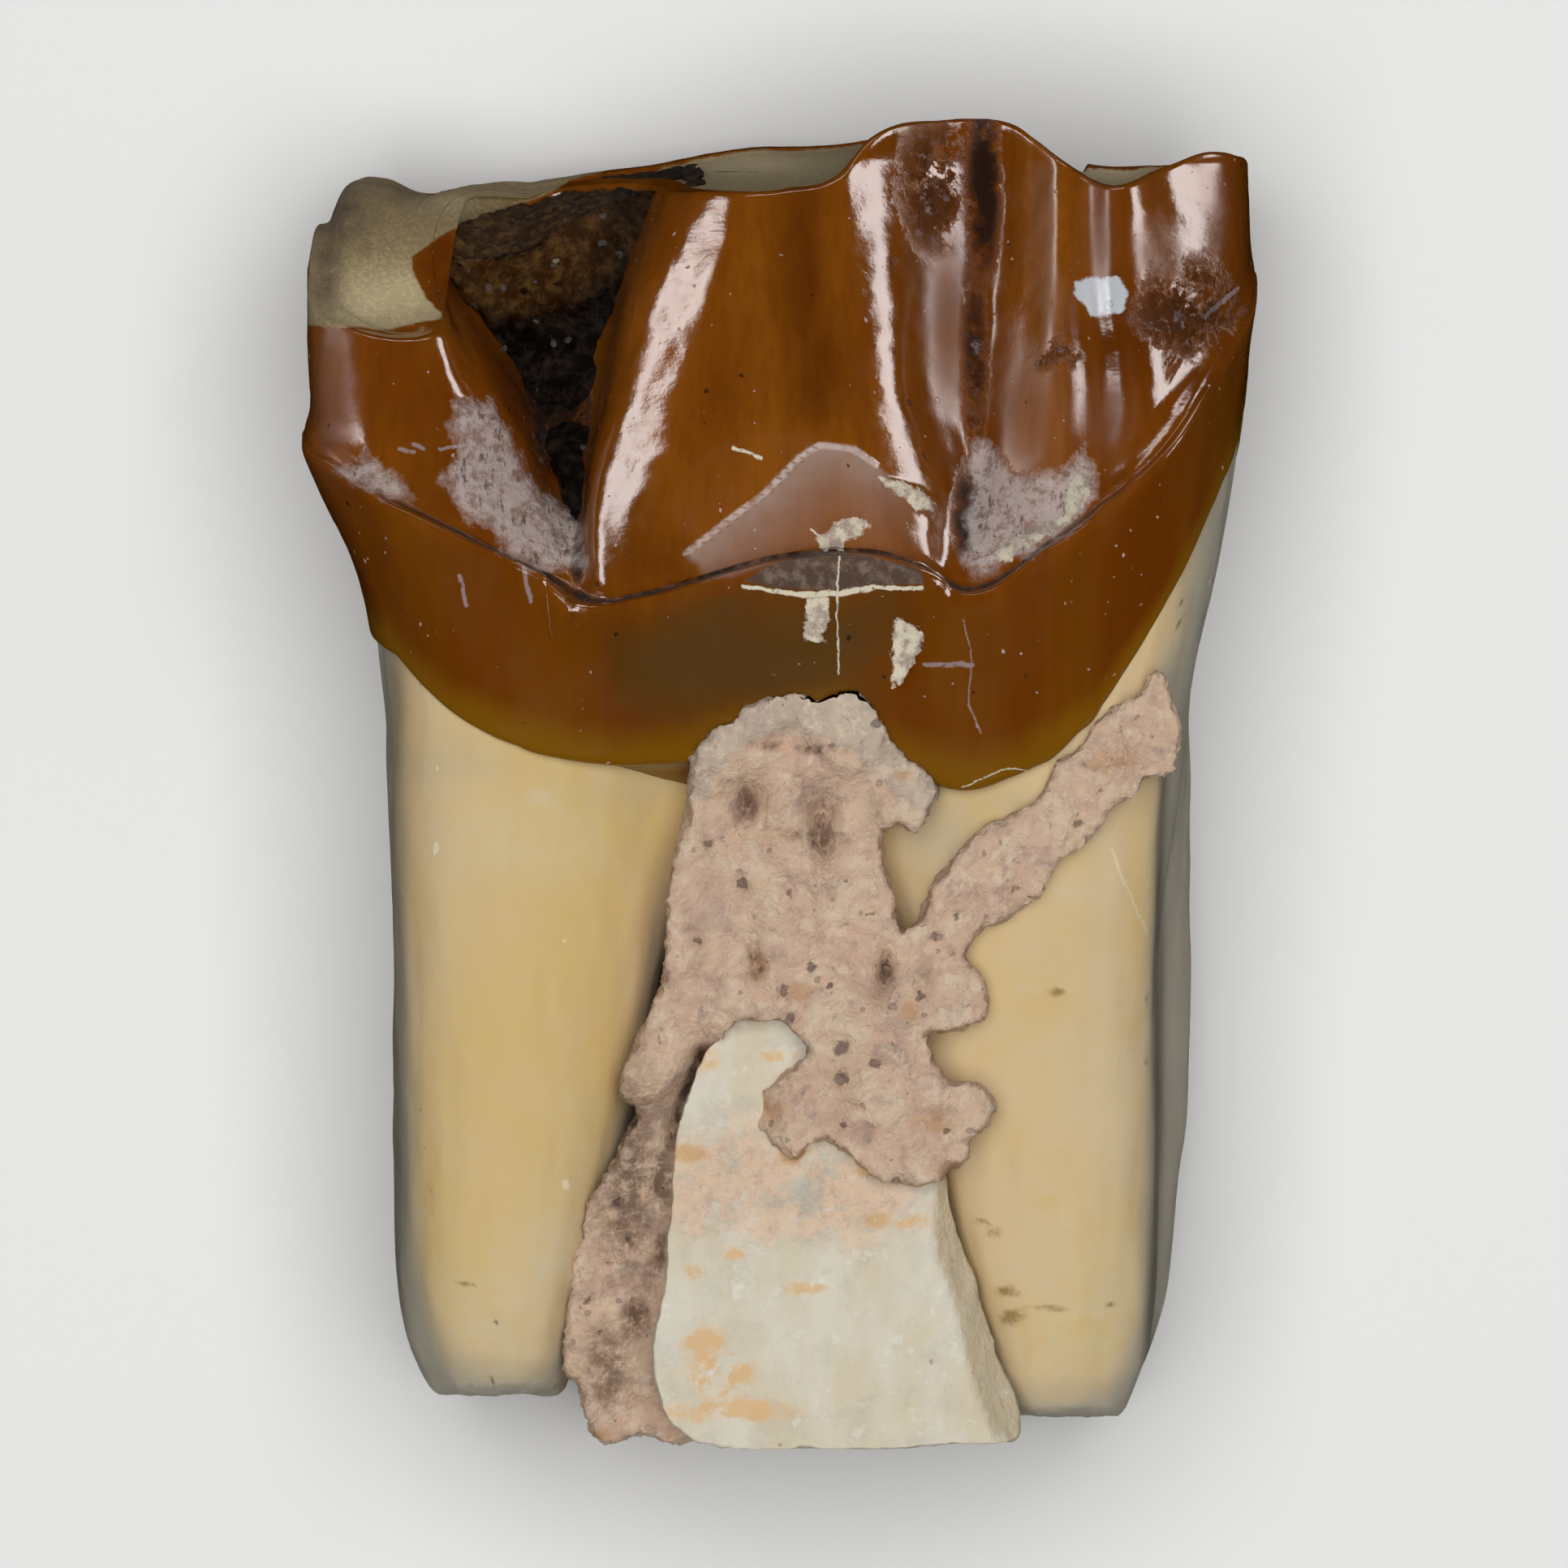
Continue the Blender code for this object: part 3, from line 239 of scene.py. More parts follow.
# Sandstone between the roots: its outline as seen from the outer side
MATRIX_OUTLINE = (
    (-2.24, 0.31), (-2.13, 0.79), (-1.67, 1.21), (-1.14, 1.45), (-0.99, 1.74), (-0.65, 1.93), (-0.11, 2.06),
    (0.42, 1.97), (1.14, 1.95), (1.37, 2.1), (1.6, 2.18), (1.9, 1.91), (2.24, 1.42), (2.51, 0.88),
    (3.17, 0.28), (3.57, -0.18), (3.27, -0.64), (3.0, -1.02), (2.62, -0.86), (2.24, -1.05), (2.2, -1.78),
    (2.47, -2.44), (2.57, -3.11), (2.66, -3.55), (2.95, -3.4), (3.27, -2.88), (3.4, -2.42), (3.69, -2.12),
    (4.22, -1.4), (4.6, -1.02), (5.17, -0.73), (5.66, -0.58), (5.97, -0.31), (6.31, 0.41), (6.73, 0.71),
    (7.11, 1.21), (7.3, 1.59), (7.68, 1.85), (8.25, 1.95), (8.42, 2.35), (8.61, 2.63), (8.82, 2.54),
    (8.91, 1.99), (9.1, 1.53), (9.16, 1.04), (8.97, 0.31), (8.25, 0.18), (8.09, -0.16), (7.68, -0.48),
    (7.41, -0.83), (7.07, -1.24), (6.84, -1.55), (6.46, -1.64), (6.23, -1.97), (6.0, -2.46), (5.59, -2.88),
    (5.13, -3.14), (4.56, -3.33), (4.22, -3.68), (4.16, -4.09), (4.45, -4.4), (4.66, -4.7), (4.77, -5.12),
    (4.62, -5.46), (4.14, -5.67), (3.61, -5.77), (3.19, -5.61), (3.31, -6.07), (3.5, -6.56), (3.65, -6.87),
    (3.91, -7.08), (4.18, -6.94), (4.52, -7.02), (4.94, -7.51), (4.64, -7.99), (4.26, -8.08), (4.26, -8.79),
    (3.76, -8.88), (3.61, -9.22), (2.89, -9.32), (2.28, -9.26), (1.82, -8.92), (1.37, -8.62), (0.91, -8.24),
    (0.61, -8.27), (0.38, -8.65), (0.11, -8.73), (-0.34, -8.24), (-0.8, -7.86), (-1.37, -7.32),
    (-1.14, -7.17), (-0.3, -7.1), (-0.04, -6.81), (0.34, -6.49), (0.61, -6.15), (0.3, -5.84), (-0.11, -5.54),
    (-1.22, -5.46), (-1.52, -5.88), (-1.85, -6.2), (-1.9, -8.6), (-1.9, -11.0), (-2.1, -13.0), (-2.2, -14.2),
    (-1.9, -15.2), (-2.62, -15.36), (-3.19, -15.11), (-3.48, -15.13), (-3.86, -15.3), (-4.24, -15.36),
    (-4.5, -15.15), (-4.58, -14.7), (-4.75, -14.32), (-4.83, -13.94), (-5.15, -13.78), (-5.13, -12.8),
    (-5.09, -12.04), (-5.02, -11.28), (-4.86, -10.71), (-4.67, -10.14), (-4.43, -9.57), (-4.24, -9.19),
    (-3.95, -8.81), (-3.72, -8.24), (-3.53, -7.86), (-3.38, -7.48), (-3.65, -7.32), (-3.91, -7.19),
    (-3.8, -6.81), (-3.61, -6.3), (-3.34, -5.77), (-3.19, -5.39), (-2.91, -4.97), (-2.77, -4.25),
    (-2.7, -3.49), (-2.7, -2.63), (-2.6, -1.87), (-2.43, -1.3), (-2.24, -0.64),
)
# How far forward the sandstone reaches: x, y and height
MATRIX_FRONT = (
    (-1.6, 0.7, 13.0), (-0.9, 1.3, 13.15), (0.0, 1.8, 13.5), (0.6, 1.9, 13.8), (1.2, 1.8, 14.0),
    (1.5, 1.3, 13.5), (2.7, 0.1, 12.8), (0.1, 1.0, 12.6), (-0.85, -0.5, 12.2), (0.85, -0.9, 12.1),
    (0.0, -0.45, 12.6), (0.05, -1.25, 12.3), (-1.9, -0.8, 12.4), (1.9, -0.6, 12.4), (0.0, -3.0, 12.7),
    (-1.5, -3.4, 12.4), (1.5, -3.8, 12.4), (-0.5, -5.2, 12.6), (2.0, -6.3, 12.9), (3.6, -7.6, 12.6),
    (1.0, -8.2, 12.5), (4.0, -4.6, 12.3), (5.3, -2.2, 12.4), (7.2, 0.2, 12.3), (8.5, 1.6, 11.8),
    (-3.0, -6.6, 12.1), (-3.4, -8.6, 11.1), (-2.05, -7.4, 10.8), (-3.6, -11.4, 10.6), (-3.6, -14.5, 10.2),
)
# Hollows and bosses of the sandstone in the view: place, half width, half height and depth
ROCK_HOLLOWS = (
    (921, 990, 12, 26, 0.8), (1013, 1008, 13, 30, 0.7), (1010, 1040, 22, 12, 0.5), (965, 1031, 40, 6, 0.3),
    (1012, 924, 36, 6, 0.08), (945, 920, 26, 7, 0.08), (967, 985, 26, 26, -0.25), (1090, 1198, 9, 24, 0.9),
    (866, 1300, 9, 12, 1.0), (857, 1322, 9, 14, 1.0), (848, 1346, 9, 14, 1.0), (838, 1375, 9, 14, 0.9),
    (828, 1402, 9, 14, 0.7), (930, 1180, 12, 30, 0.15), (790, 1610, 10, 30, 0.4), (783, 1680, 8, 22, 0.3),
    (800, 1465, 10, 18, 0.4), (1015, 1065, 10, 20, 0.3),
)
# Pores of the sandstone in the view: place and radius
ROCK_PORES = (
    (1036, 1290, 11), (1078, 1308, 9), (1036, 1328, 11), (1038, 1384, 6), (974, 1253, 7), (1133, 1228, 8),
    (1250, 1096, 6), (1326, 1014, 7), (1178, 1128, 5), (1151, 1153, 7), (873, 1040, 7), (974, 1101, 6),
    (1022, 1214, 5), (965, 1220, 8), (1000, 1190, 8), (940, 1190, 8), (780, 1382, 8), (774, 1524, 6),
    (738, 1640, 6), (752, 1556, 5), (1071, 1126, 6), (915, 1088, 9), (1078, 892, 8), (1200, 1112, 4),
    (1355, 975, 4), (1092, 1402, 5), (1104, 1452, 6), (1165, 1392, 5), (1340, 1000, 4), (860, 1160, 6),
    (812, 1280, 6), (722, 1600, 6), (760, 1480, 6), (720, 1520, 5), (1100, 1360, 5), (990, 1150, 4),
)
# The sandstone's pale upper rim in the view, then its orange stains, and its painted shade in crevices
# and darker places: place, half width, half height and any strength
ROCK_RIM = (
    (846, 990), (848, 930), (880, 898), (905, 886), (915, 868), (934, 858), (962, 852), (1030, 860),
    (1052, 844), (1072, 860), (1090, 888), (1104, 916), (1140, 950), (1164, 978), (1142, 1006), (1110, 996),
    (1088, 962), (1060, 936), (1020, 912), (960, 903), (915, 922), (884, 950), (872, 985),
)
ROCK_RUST = (
    (1112, 958, 15, 7), (742, 1765, 16, 8), (936, 1190, 12, 22), (1120, 1245, 14, 12), (985, 1222, 24, 12),
    (985, 1424, 14, 10), (940, 1365, 30, 18), (1150, 1380, 26, 16), (1170, 1440, 20, 14),
    (1370, 940, 30, 18),
)
ROCK_SHADES = (
    (815, 1450, 18, 50, 0.8), (815, 1540, 10, 44, 0.7), (800, 1565, 18, 36, 0.5), (782, 1620, 20, 34, 0.8),
    (775, 1450, 50, 170, 0.6), (750, 1690, 40, 70, 0.6), (1140, 1215, 14, 30, 0.4), (915, 1090, 14, 14, 0.4),
    (1075, 1010, 16, 60, 0.3), (870, 1080, 10, 70, 0.3), (860, 1180, 12, 40, 0.3), (930, 1180, 12, 34, 0.6),
    (1010, 923, 40, 7, 0.8), (945, 920, 26, 7, 0.6), (1000, 1030, 44, 8, 0.6), (1000, 985, 12, 30, 0.4),
)
# Outer face of the bone wedge, from its upper left corner round by the right
BONE_OUTLINE = (
    (-1.2, -5.48), (0.2, -5.5), (2.0, -6.6), (3.74, -9.09), (3.78, -9.76), (3.93, -10.33), (4.12, -10.9),
    (4.35, -11.47), (4.5, -12.04), (4.69, -12.61), (4.88, -13.27), (5.17, -13.94), (5.4, -14.6),
    (5.45, -15.3), (4.41, -15.36), (3.46, -15.42), (1.75, -15.5), (-0.72, -15.5), (-1.48, -15.42),
    (-1.96, -15.36), (-2.24, -15.23), (-2.53, -14.98), (-2.81, -14.7), (-2.96, -14.22), (-3.08, -13.75),
    (-3.1, -13.18), (-3.04, -12.8), (-2.91, -12.23), (-2.81, -11.85), (-2.74, -10.71), (-2.66, -9.76),
    (-2.58, -8.62), (-2.53, -8.14), (-2.34, -7.48), (-2.15, -6.91), (-1.96, -6.53), (-1.8, -6.2),
    (-1.58, -5.96), (-1.39, -5.77),
)
# Where the bone's flat face ends and its planed edge begins: x by y
BONE_EDGE = (
    (-15.5, 4.95), (-14.7, 4.6), (-13.9, 4.31), (-12.4, 3.93), (-11.7, 3.74), (-10.9, 3.46), (-9.0, 3.5),
    (-5.0, 3.5),
)
# The pinkish film on the bone, in the view
BONE_CRUST = (
    (828, 1400), (870, 1392), (905, 1385), (940, 1398), (975, 1428), (1000, 1400), (1040, 1420),
    (1090, 1455), (1150, 1456), (1152, 1480), (1118, 1505), (1050, 1512), (985, 1516), (940, 1530),
    (890, 1505), (845, 1515), (826, 1480),
)
# Stains on the bone in the view: place, half width and half height
BONE_STAINS = (
    (857, 1563, 14, 10), (870, 1655, 26, 20), (890, 1690, 36, 30), (900, 1735, 76, 14), (1098, 1503, 40, 9),
    (978, 1420, 18, 12), (1070, 1442, 14, 10), (903, 1543, 14, 8), (870, 1302, 14, 18), (985, 1585, 30, 6),
    (850, 1418, 22, 10), (960, 1300, 20, 8), (1020, 1360, 60, 12),
)
# Marks on the roots in the view: place, half width, half height and, where it isn't 1, strength
ROOT_STAINS = (
    (1208, 1503, 14, 5), (1224, 1516, 12, 8), (1240, 1590, 16, 9), (1290, 1610, 34, 4), (1368, 1606, 14, 3),
    (575, 1580, 18, 4), (1246, 1622, 22, 12), (1300, 1222, 12, 7),
)
ROOT_YELLOW = (
    (735, 1088, 24, 10), (1288, 1478, 26, 9), (545, 1525, 24, 14), (765, 1120, 8, 5), (650, 1400, 60, 90),
    (1290, 1240, 40, 30), (1400, 1100, 16, 120), (590, 1250, 50, 160),
)
ROOT_PALE = (
    (665, 985, 16, 12), (1262, 1218, 12, 5), (1320, 1505, 20, 8), (1316, 1100, 22, 18), (690, 1560, 40, 60),
    (1340, 1640, 110, 120, 0.7), (610, 1660, 110, 100, 0.7), (1330, 1330, 60, 80, 0.4),
    (660, 1040, 90, 50, 0.5),
)
# Grey dentine at the fore side, and painted shade on the roots under the crown and in the gap between them
ROOT_GREY_AND_SHADE = (
    (1150, 1030, 70, 80, 0.5), (1250, 990, 60, 25, 0.35), (1120, 1120, 30, 50, 0.4),
    (1500, 600, 40, 160, 0.9), (560, 940, 100, 36, 0.3), (780, 975, 110, 36, 0.3), (1480, 760, 30, 90, 0.9),
    (1445, 850, 22, 70, 0.8), (1440, 950, 14, 60, 0.8),
)
# The painted shade along the crease where the fore root's back lobe shows beside its front one, in
# the view: its half width and its upper end, and how far across it is by how far down
CREASE_HALF, CREASE_START = 7, 840
ROOT_CREASE = ((840, 1420), (950, 1432), (1100, 1428), (1300, 1428), (1500, 1424), (1650, 1414))
# The painted shade along the hind root's edge in the view: how far across, half width and strength
DARK_EDGE_SHADE = (488, 18, 0.8)

# Sediment in the fold: its outline, and how far forward it reaches as x, y and height
SEDIMENT_OUTLINE = (
    (-7.0, 10.9), (-7.7, 11.5), (-8.2, 12.2), (-8.1, 12.8), (-7.0, 13.35), (-5.1, 14.1), (-2.5, 14.8),
    (-1.9, 14.4), (-2.6, 13.2), (-3.1, 12.3), (-3.6, 11.2), (-4.0, 10.1), (-4.2, 8.9), (-4.35, 7.6),
    (-4.5, 6.1), (-5.0, 6.1), (-5.5, 7.9), (-6.05, 8.9), (-6.6, 10.0),
)
SEDIMENT_FRONT = (
    (-7.75, 11.7, 7.75), (-8.3, 12.3, 7.5), (-7.2, 11.2, 7.4), (-6.3, 10.1, 6.8), (-5.4, 8.85, 6.9),
    (-3.44, 12.6, 7.4), (-3.95, 11.4, 7.5), (-4.4, 10.3, 7.1), (-4.6, 9.1, 7.9), (-5.2, 9.95, 7.3),
    (-4.9, 9.4, 7.7), (-4.75, 7.9, 8.9), (-4.8, 7.0, 9.7), (-4.8, 6.4, 10.3), (-6.0, 12.5, 7.6),
    (-4.5, 13.5, 7.2), (-2.6, 14.1, 7.2),
)


def on_face(u, v):
    """A point of the outer face, in millimetres, from its place in the view."""
    return ((u - VIEW_MIDDLE[0]) * VIEW_STEP, (VIEW_MIDDLE[1] - v) * VIEW_STEP)


def smooth_through(at, values, places):
    """Values at the places, on a smooth curve through (at, values), level beyond its ends."""
    at, values = np.array(at, float), np.array(values, float)
    slope = np.gradient(values, at, axis=0)
    places = np.clip(np.atleast_1d(np.array(places, float)), at[0], at[-1])
    i = np.clip(np.searchsorted(at, places) - 1, 0, len(at) - 2)
    span = at[i + 1] - at[i]
    s = (places - at[i]) / span
    from_start = ((1 + 2 * s) * (1 - s) ** 2, s * (1 - s) ** 2 * span)
    from_end = (s * s * (3 - 2 * s), s * s * (s - 1) * span)
    a, b, c, d = (w.reshape(w.shape + (1,) * (values.ndim - 1)) for w in from_start + from_end)
    return a * values[i] + b * slope[i] + c * values[i + 1] + d * slope[i + 1]


def round_trip(keys, places):
    """Points on a smooth closed line through each row's own keys, one place for each row."""
    count = keys.shape[1]
    row = np.arange(len(places))
    k = np.floor(places).astype(int)
    s = (places - k)[:, None]
    p0, p1, p2, p3 = (keys[row, (k + shift) % count] for shift in (-1, 0, 1, 2))
    pairs = ((p0, p1), (p1, p2), (p2, p3))
    d01, d12, d23 = (np.linalg.norm(b - a, axis=1)[:, None] + 1e-6 for a, b in pairs)
    start = d12 * ((p1 - p0) / d01 * d12 + (p2 - p1) / d12 * d01) / (d01 + d12)
    end = d12 * ((p2 - p1) / d12 * d23 + (p3 - p2) / d23 * d12) / (d12 + d23)
    near = (1 + 2 * s) * (1 - s) ** 2 * p1 + s * (1 - s) ** 2 * start
    return near + s * s * (3 - 2 * s) * p2 + s * s * (s - 1) * end


def outward(points):
    """Unit vectors that point out of a closed line of (x, z) points."""
    along = np.roll(points, -1, axis=0) - np.roll(points, 1, axis=0)
    normal = np.stack([-along[:, 1], along[:, 0]], axis=1)
    return normal / np.linalg.norm(normal, axis=1)[:, None]


class Wall:
    """The upright wall of the crown or of a root, given by features at some heights."""

    def __init__(self, levels, features, places):
        self.levels = levels
        self.table = np.array(list(features.values()), float).transpose(2, 0, 1)
        self.places = np.array(places, float)

    def ring(self, heights, reach=0.0, shrink=1.0):
        """The wall's (x, y, z) at one height for each column, moved outward by reach."""
        heights = np.broadcast_to(np.array(heights, float), self.places.shape)
        points = round_trip(smooth_through(self.levels, self.table, heights), self.places)
        points = points + outward(points) * np.broadcast_to(reach, self.places.shape)[:, None]
        centre = points.mean(axis=0)
        points = centre + (points - centre) * shrink
        return np.stack([points[:, 0], heights, points[:, 1]], axis=1)

    def by_column(self, values):
        """One value for each column, smoothly from one value for each feature."""
        keys = np.array(values, float)
        around = np.concatenate([keys[-2:], keys, keys[:3]])
        return smooth_through(np.arange(-2, len(keys) + 3), around, self.places % len(keys))


def even_places(levels, features, height, start, end, count):
    """Places from one feature to another, evenly spaced along the wall at a height."""
    fine = np.linspace(start, end, 4000)
    line = Wall(levels, features, fine).ring(height)[:, (0, 2)]
    run = np.concatenate([[0], np.cumsum(np.linalg.norm(np.diff(line, axis=0), axis=1))])
    return np.interp(np.linspace(0, run[-1], count, endpoint=False), run, fine)


def rims_and_share(x, z):
    """Heights of the outer and the tongue rim, and the share of the rise from one to the other."""
    outer = smooth_through(*zip(*OUTER_RIM), x)
    tongue = smooth_through(*zip(*TONGUE_RIM), x)
    return outer, tongue, smooth_step((10.5 - z) / smooth_through(*zip(*RISE), x), 0, 1)


def hollow_depth(x, z, whole):
    """How far the hollows of the worn top reach below its whole height."""
    height = whole
    for at, half, floor, inward in HOLLOWS:
        across = np.clip(1 - ((x - at) / half) ** 2, 0, 1)
        depth = across * np.clip(1 - (z - 0.5) / inward, 0, 1) ** 0.7
        height = height + (floor - height) * depth
    return whole - height


def top_height(x, z):
    """Height of the worn top at x and z, with its hollows."""
    outer, tongue, share = rims_and_share(x, z)
    whole = outer * (1 - share) + tongue * share
    return whole - hollow_depth(x, z, whole)


def distance_to_line(points, line, closed=True):
    """Distance from each point to a line of points, in the plane."""
    ends = np.roll(line, -1, axis=0) if closed else line[1:]
    starts = line if closed else line[:-1]
    nearest = np.full(len(points), 1e9)
    for a, b in zip(starts, ends):
        ab = b - a
        t = np.clip(((points - a) @ ab) / max(ab @ ab, 1e-12), 0, 1)
        nearest = np.minimum(nearest, np.linalg.norm(points - a - t[:, None] * ab, axis=1))
    return nearest


def inside_of(points, outline):
    """Distance into an outline in the plane, negative outside it."""
    outline = np.array(outline, float)
    crossing = np.zeros(len(points), bool)
    for (ax, ay), (bx, by) in zip(outline, np.roll(outline, -1, axis=0)):
        spans = (ay > points[:, 1]) != (by > points[:, 1])
        at = ax + (points[:, 1] - ay) / np.where(by == ay, 1e-9, by - ay) * (bx - ax)
        crossing ^= spans & (points[:, 0] < at)
    near = distance_to_line(points, outline)
    return np.where(crossing, near, -near)


def smooth_step(value, low, high):
    """Goes smoothly from 0 to 1 while the value goes from low to high."""
    t = np.clip((value - low) / (high - low), 0, 1)
    return t * t * (3 - 2 * t)


def weighted_height(points, known):
    """Heights at (x, y) points, weighted from nearby known ones."""
    known = np.array(known, float)
    total, weight = np.zeros(len(points)), np.zeros(len(points))
    for x, y, height in known:
        share = 1 / ((points[:, 0] - x) ** 2 + (points[:, 1] - y) ** 2 + 0.25) ** 2
        total += share * height
        weight += share
    return total / weight


def lumpiness(points, size, octaves=3, roughness=0.5):
    """Lumpy noise at each point, about -1 to 1."""
    return np.array([noise.fractal(Vector(p) / size, 1 - roughness, 2.1, octaves) for p in points])


def pits(points, size, width):
    """A round pit around each cell's middle, 0 to 1 deep."""
    near = np.array([noise.voronoi(Vector(p) / size)[0][0] for p in points])
    return np.clip(1 - near / width, 0, 1)


def triples(piece, kind):
    """Three numbers for each point of a piece: its place or its normal."""
    flat = np.empty(len(piece.data.vertices) * 3)
    piece.data.vertices.foreach_get(kind, flat)
    return flat.reshape(-1, 3)


def table_points(piece):
    """A piece's points in the tables' place, in millimetres."""
    return triples(piece, "co") / MM - SHIFT


def set_points(piece, points):
    """Moves a piece's points, and keeps them inside the frame's box."""
    inside = np.clip((points + SHIFT) * MM, CAD_BOX[0], CAD_BOX[1])
    piece.data.vertices.foreach_set("co", inside.ravel())
    piece.data.update()


def set_measures(piece, measures):
    """Stores numbers for each point under their names, which the materials read."""
    for name, values in measures.items():
        layer = piece.data.attributes.new(name, "FLOAT", "POINT")
        layer.data.foreach_set("value", np.array(values, np.float32))


def in_view(points):
    """Places of the points in the view, in its steps."""
    across = points[:, 0] / VIEW_STEP + VIEW_MIDDLE[0]
    return np.stack([across, VIEW_MIDDLE[1] - points[:, 1] / VIEW_STEP], axis=1)


def spots(points, marks, lowest=6.0):
    """Soft round spots on the outer face, from place, half width, half height and any strength."""
    seen = in_view(points)
    total = np.zeros(len(points))
    for u, v, half_width, half_height, *strength in marks:
        away = ((seen[:, 0] - u) / half_width) ** 2 + ((seen[:, 1] - v) / half_height) ** 2
        total = np.maximum(total, np.exp(-away) * (strength[0] if strength else 1.0))
    return total * (points[:, 2] > lowest)


def areas_into(points, outlines, lowest=7.0):
    """Distance into the nearest of some areas of the outer face, negative outside, down to a limit."""
    into = np.full(len(points), FAR_OUTSIDE)
    front = points[:, 2] > lowest
    for outline in outlines:
        inside = inside_of(points[front, :2], [on_face(*p) for p in outline])
        into[front] = np.maximum(into[front], inside)
    return into


def start_piece(name):
    """Takes the new primitive and names it."""
    piece = bpy.context.object
    piece.name = piece.data.name = name
    return piece


def select_only(piece):
    """Makes a piece the active one and the only selected one."""
    bpy.ops.object.select_all(action="DESELECT")
    piece.select_set(True)
    bpy.context.view_layer.objects.active = piece


def even_mesh(piece, size, smoothing):
    """Gives a piece a mesh of even faces, smoothed some times."""
    remesh = piece.modifiers.new("Voxels", "REMESH")
    remesh.mode = "VOXEL"
    remesh.voxel_size = size
    smooth = piece.modifiers.new("Smooth", "SMOOTH")
    smooth.factor = 0.5
    smooth.iterations = smoothing
    select_only(piece)
    for modifier in (remesh, smooth):
        bpy.ops.object.modifier_apply(modifier=modifier.name)


def tidy_mesh(piece):
    """Merges what meets, turns the faces outward and shades them smooth."""
    select_only(piece)
    bpy.ops.object.mode_set(mode="EDIT")
    bpy.ops.mesh.select_all(action="SELECT")
    bpy.ops.mesh.remove_doubles(threshold=MERGE_DISTANCE)
    bpy.ops.mesh.normals_make_consistent(inside=False)
    bpy.ops.object.mode_set(mode="OBJECT")
    bpy.ops.object.shade_smooth()


def sphere_of_rings(name, rings, foot, head):
    """A sphere with its rings moved to the given ones, and each point's ring and column."""
    rings = np.array(rings)
    last, columns = len(rings) - 1, rings.shape[1]
    bpy.ops.object.select_all(action="DESELECT")
    bpy.ops.mesh.primitive_uv_sphere_add(segments=columns, ring_count=last + 2, radius=1)
    piece = start_piece(name)
    ball = triples(piece, "co")
    ring = np.rint(np.arccos(np.clip(-ball[:, 2], -1, 1)) / math.pi * (last + 2)).astype(int) - 1
    column = np.rint(np.arctan2(ball[:, 1], ball[:, 0]) / math.tau * columns).astype(int) % columns
    points = rings[np.clip(ring, 0, last), column]
    points[ring < 0] = foot
    points[ring > last] = head
    set_points(piece, points)
    return piece, ring, column


def delete_point(piece, index):
    """Takes one point out of a piece, with its faces."""
    select_only(piece)
    bpy.ops.object.mode_set(mode="EDIT")
    bpy.ops.mesh.select_mode(type="VERT")
    bpy.ops.mesh.select_all(action="DESELECT")
    bpy.ops.object.mode_set(mode="OBJECT")
    piece.data.vertices[int(index)].select = True
    bpy.ops.object.mode_set(mode="EDIT")
    bpy.ops.mesh.delete(type="VERT")
    bpy.ops.object.mode_set(mode="OBJECT")


def outline_slab(name, outline, back, front):
    """A flat outline in X and Y, raised from its back to its front height."""
    bpy.ops.object.select_all(action="DESELECT")
    bpy.ops.mesh.primitive_circle_add(vertices=len(outline), radius=MM, fill_type="NGON")
    piece = start_piece(name)
    set_points(piece, np.array([(x, y, back) for x, y in outline], float))
    bpy.ops.object.mode_set(mode="EDIT")
    bpy.ops.mesh.select_all(action="SELECT")
    bpy.ops.mesh.extrude_region_move(TRANSFORM_OT_translate={"value": (0, 0, (front - back) * MM)})
    bpy.ops.mesh.select_all(action="SELECT")
    bpy.ops.mesh.normals_make_consistent(inside=False)
    bpy.ops.object.mode_set(mode="OBJECT")
    return piece


def rough_slab(name, outline, back, front, size, smoothing=4):
    """An outline's slab with an even mesh, and its points in the tables' place."""
    piece = outline_slab(name, outline, back, front)
    even_mesh(piece, size, smoothing)
    return piece, table_points(piece)


def finish_piece(piece, node, material):
    """Tidies a piece, gives it its material and tells the frame what it rides on and shows."""
    tidy_mesh(piece)
    piece.data.materials.clear()
    piece.data.materials.append(material)
    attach(piece, "root")
    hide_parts(node)


# Materials


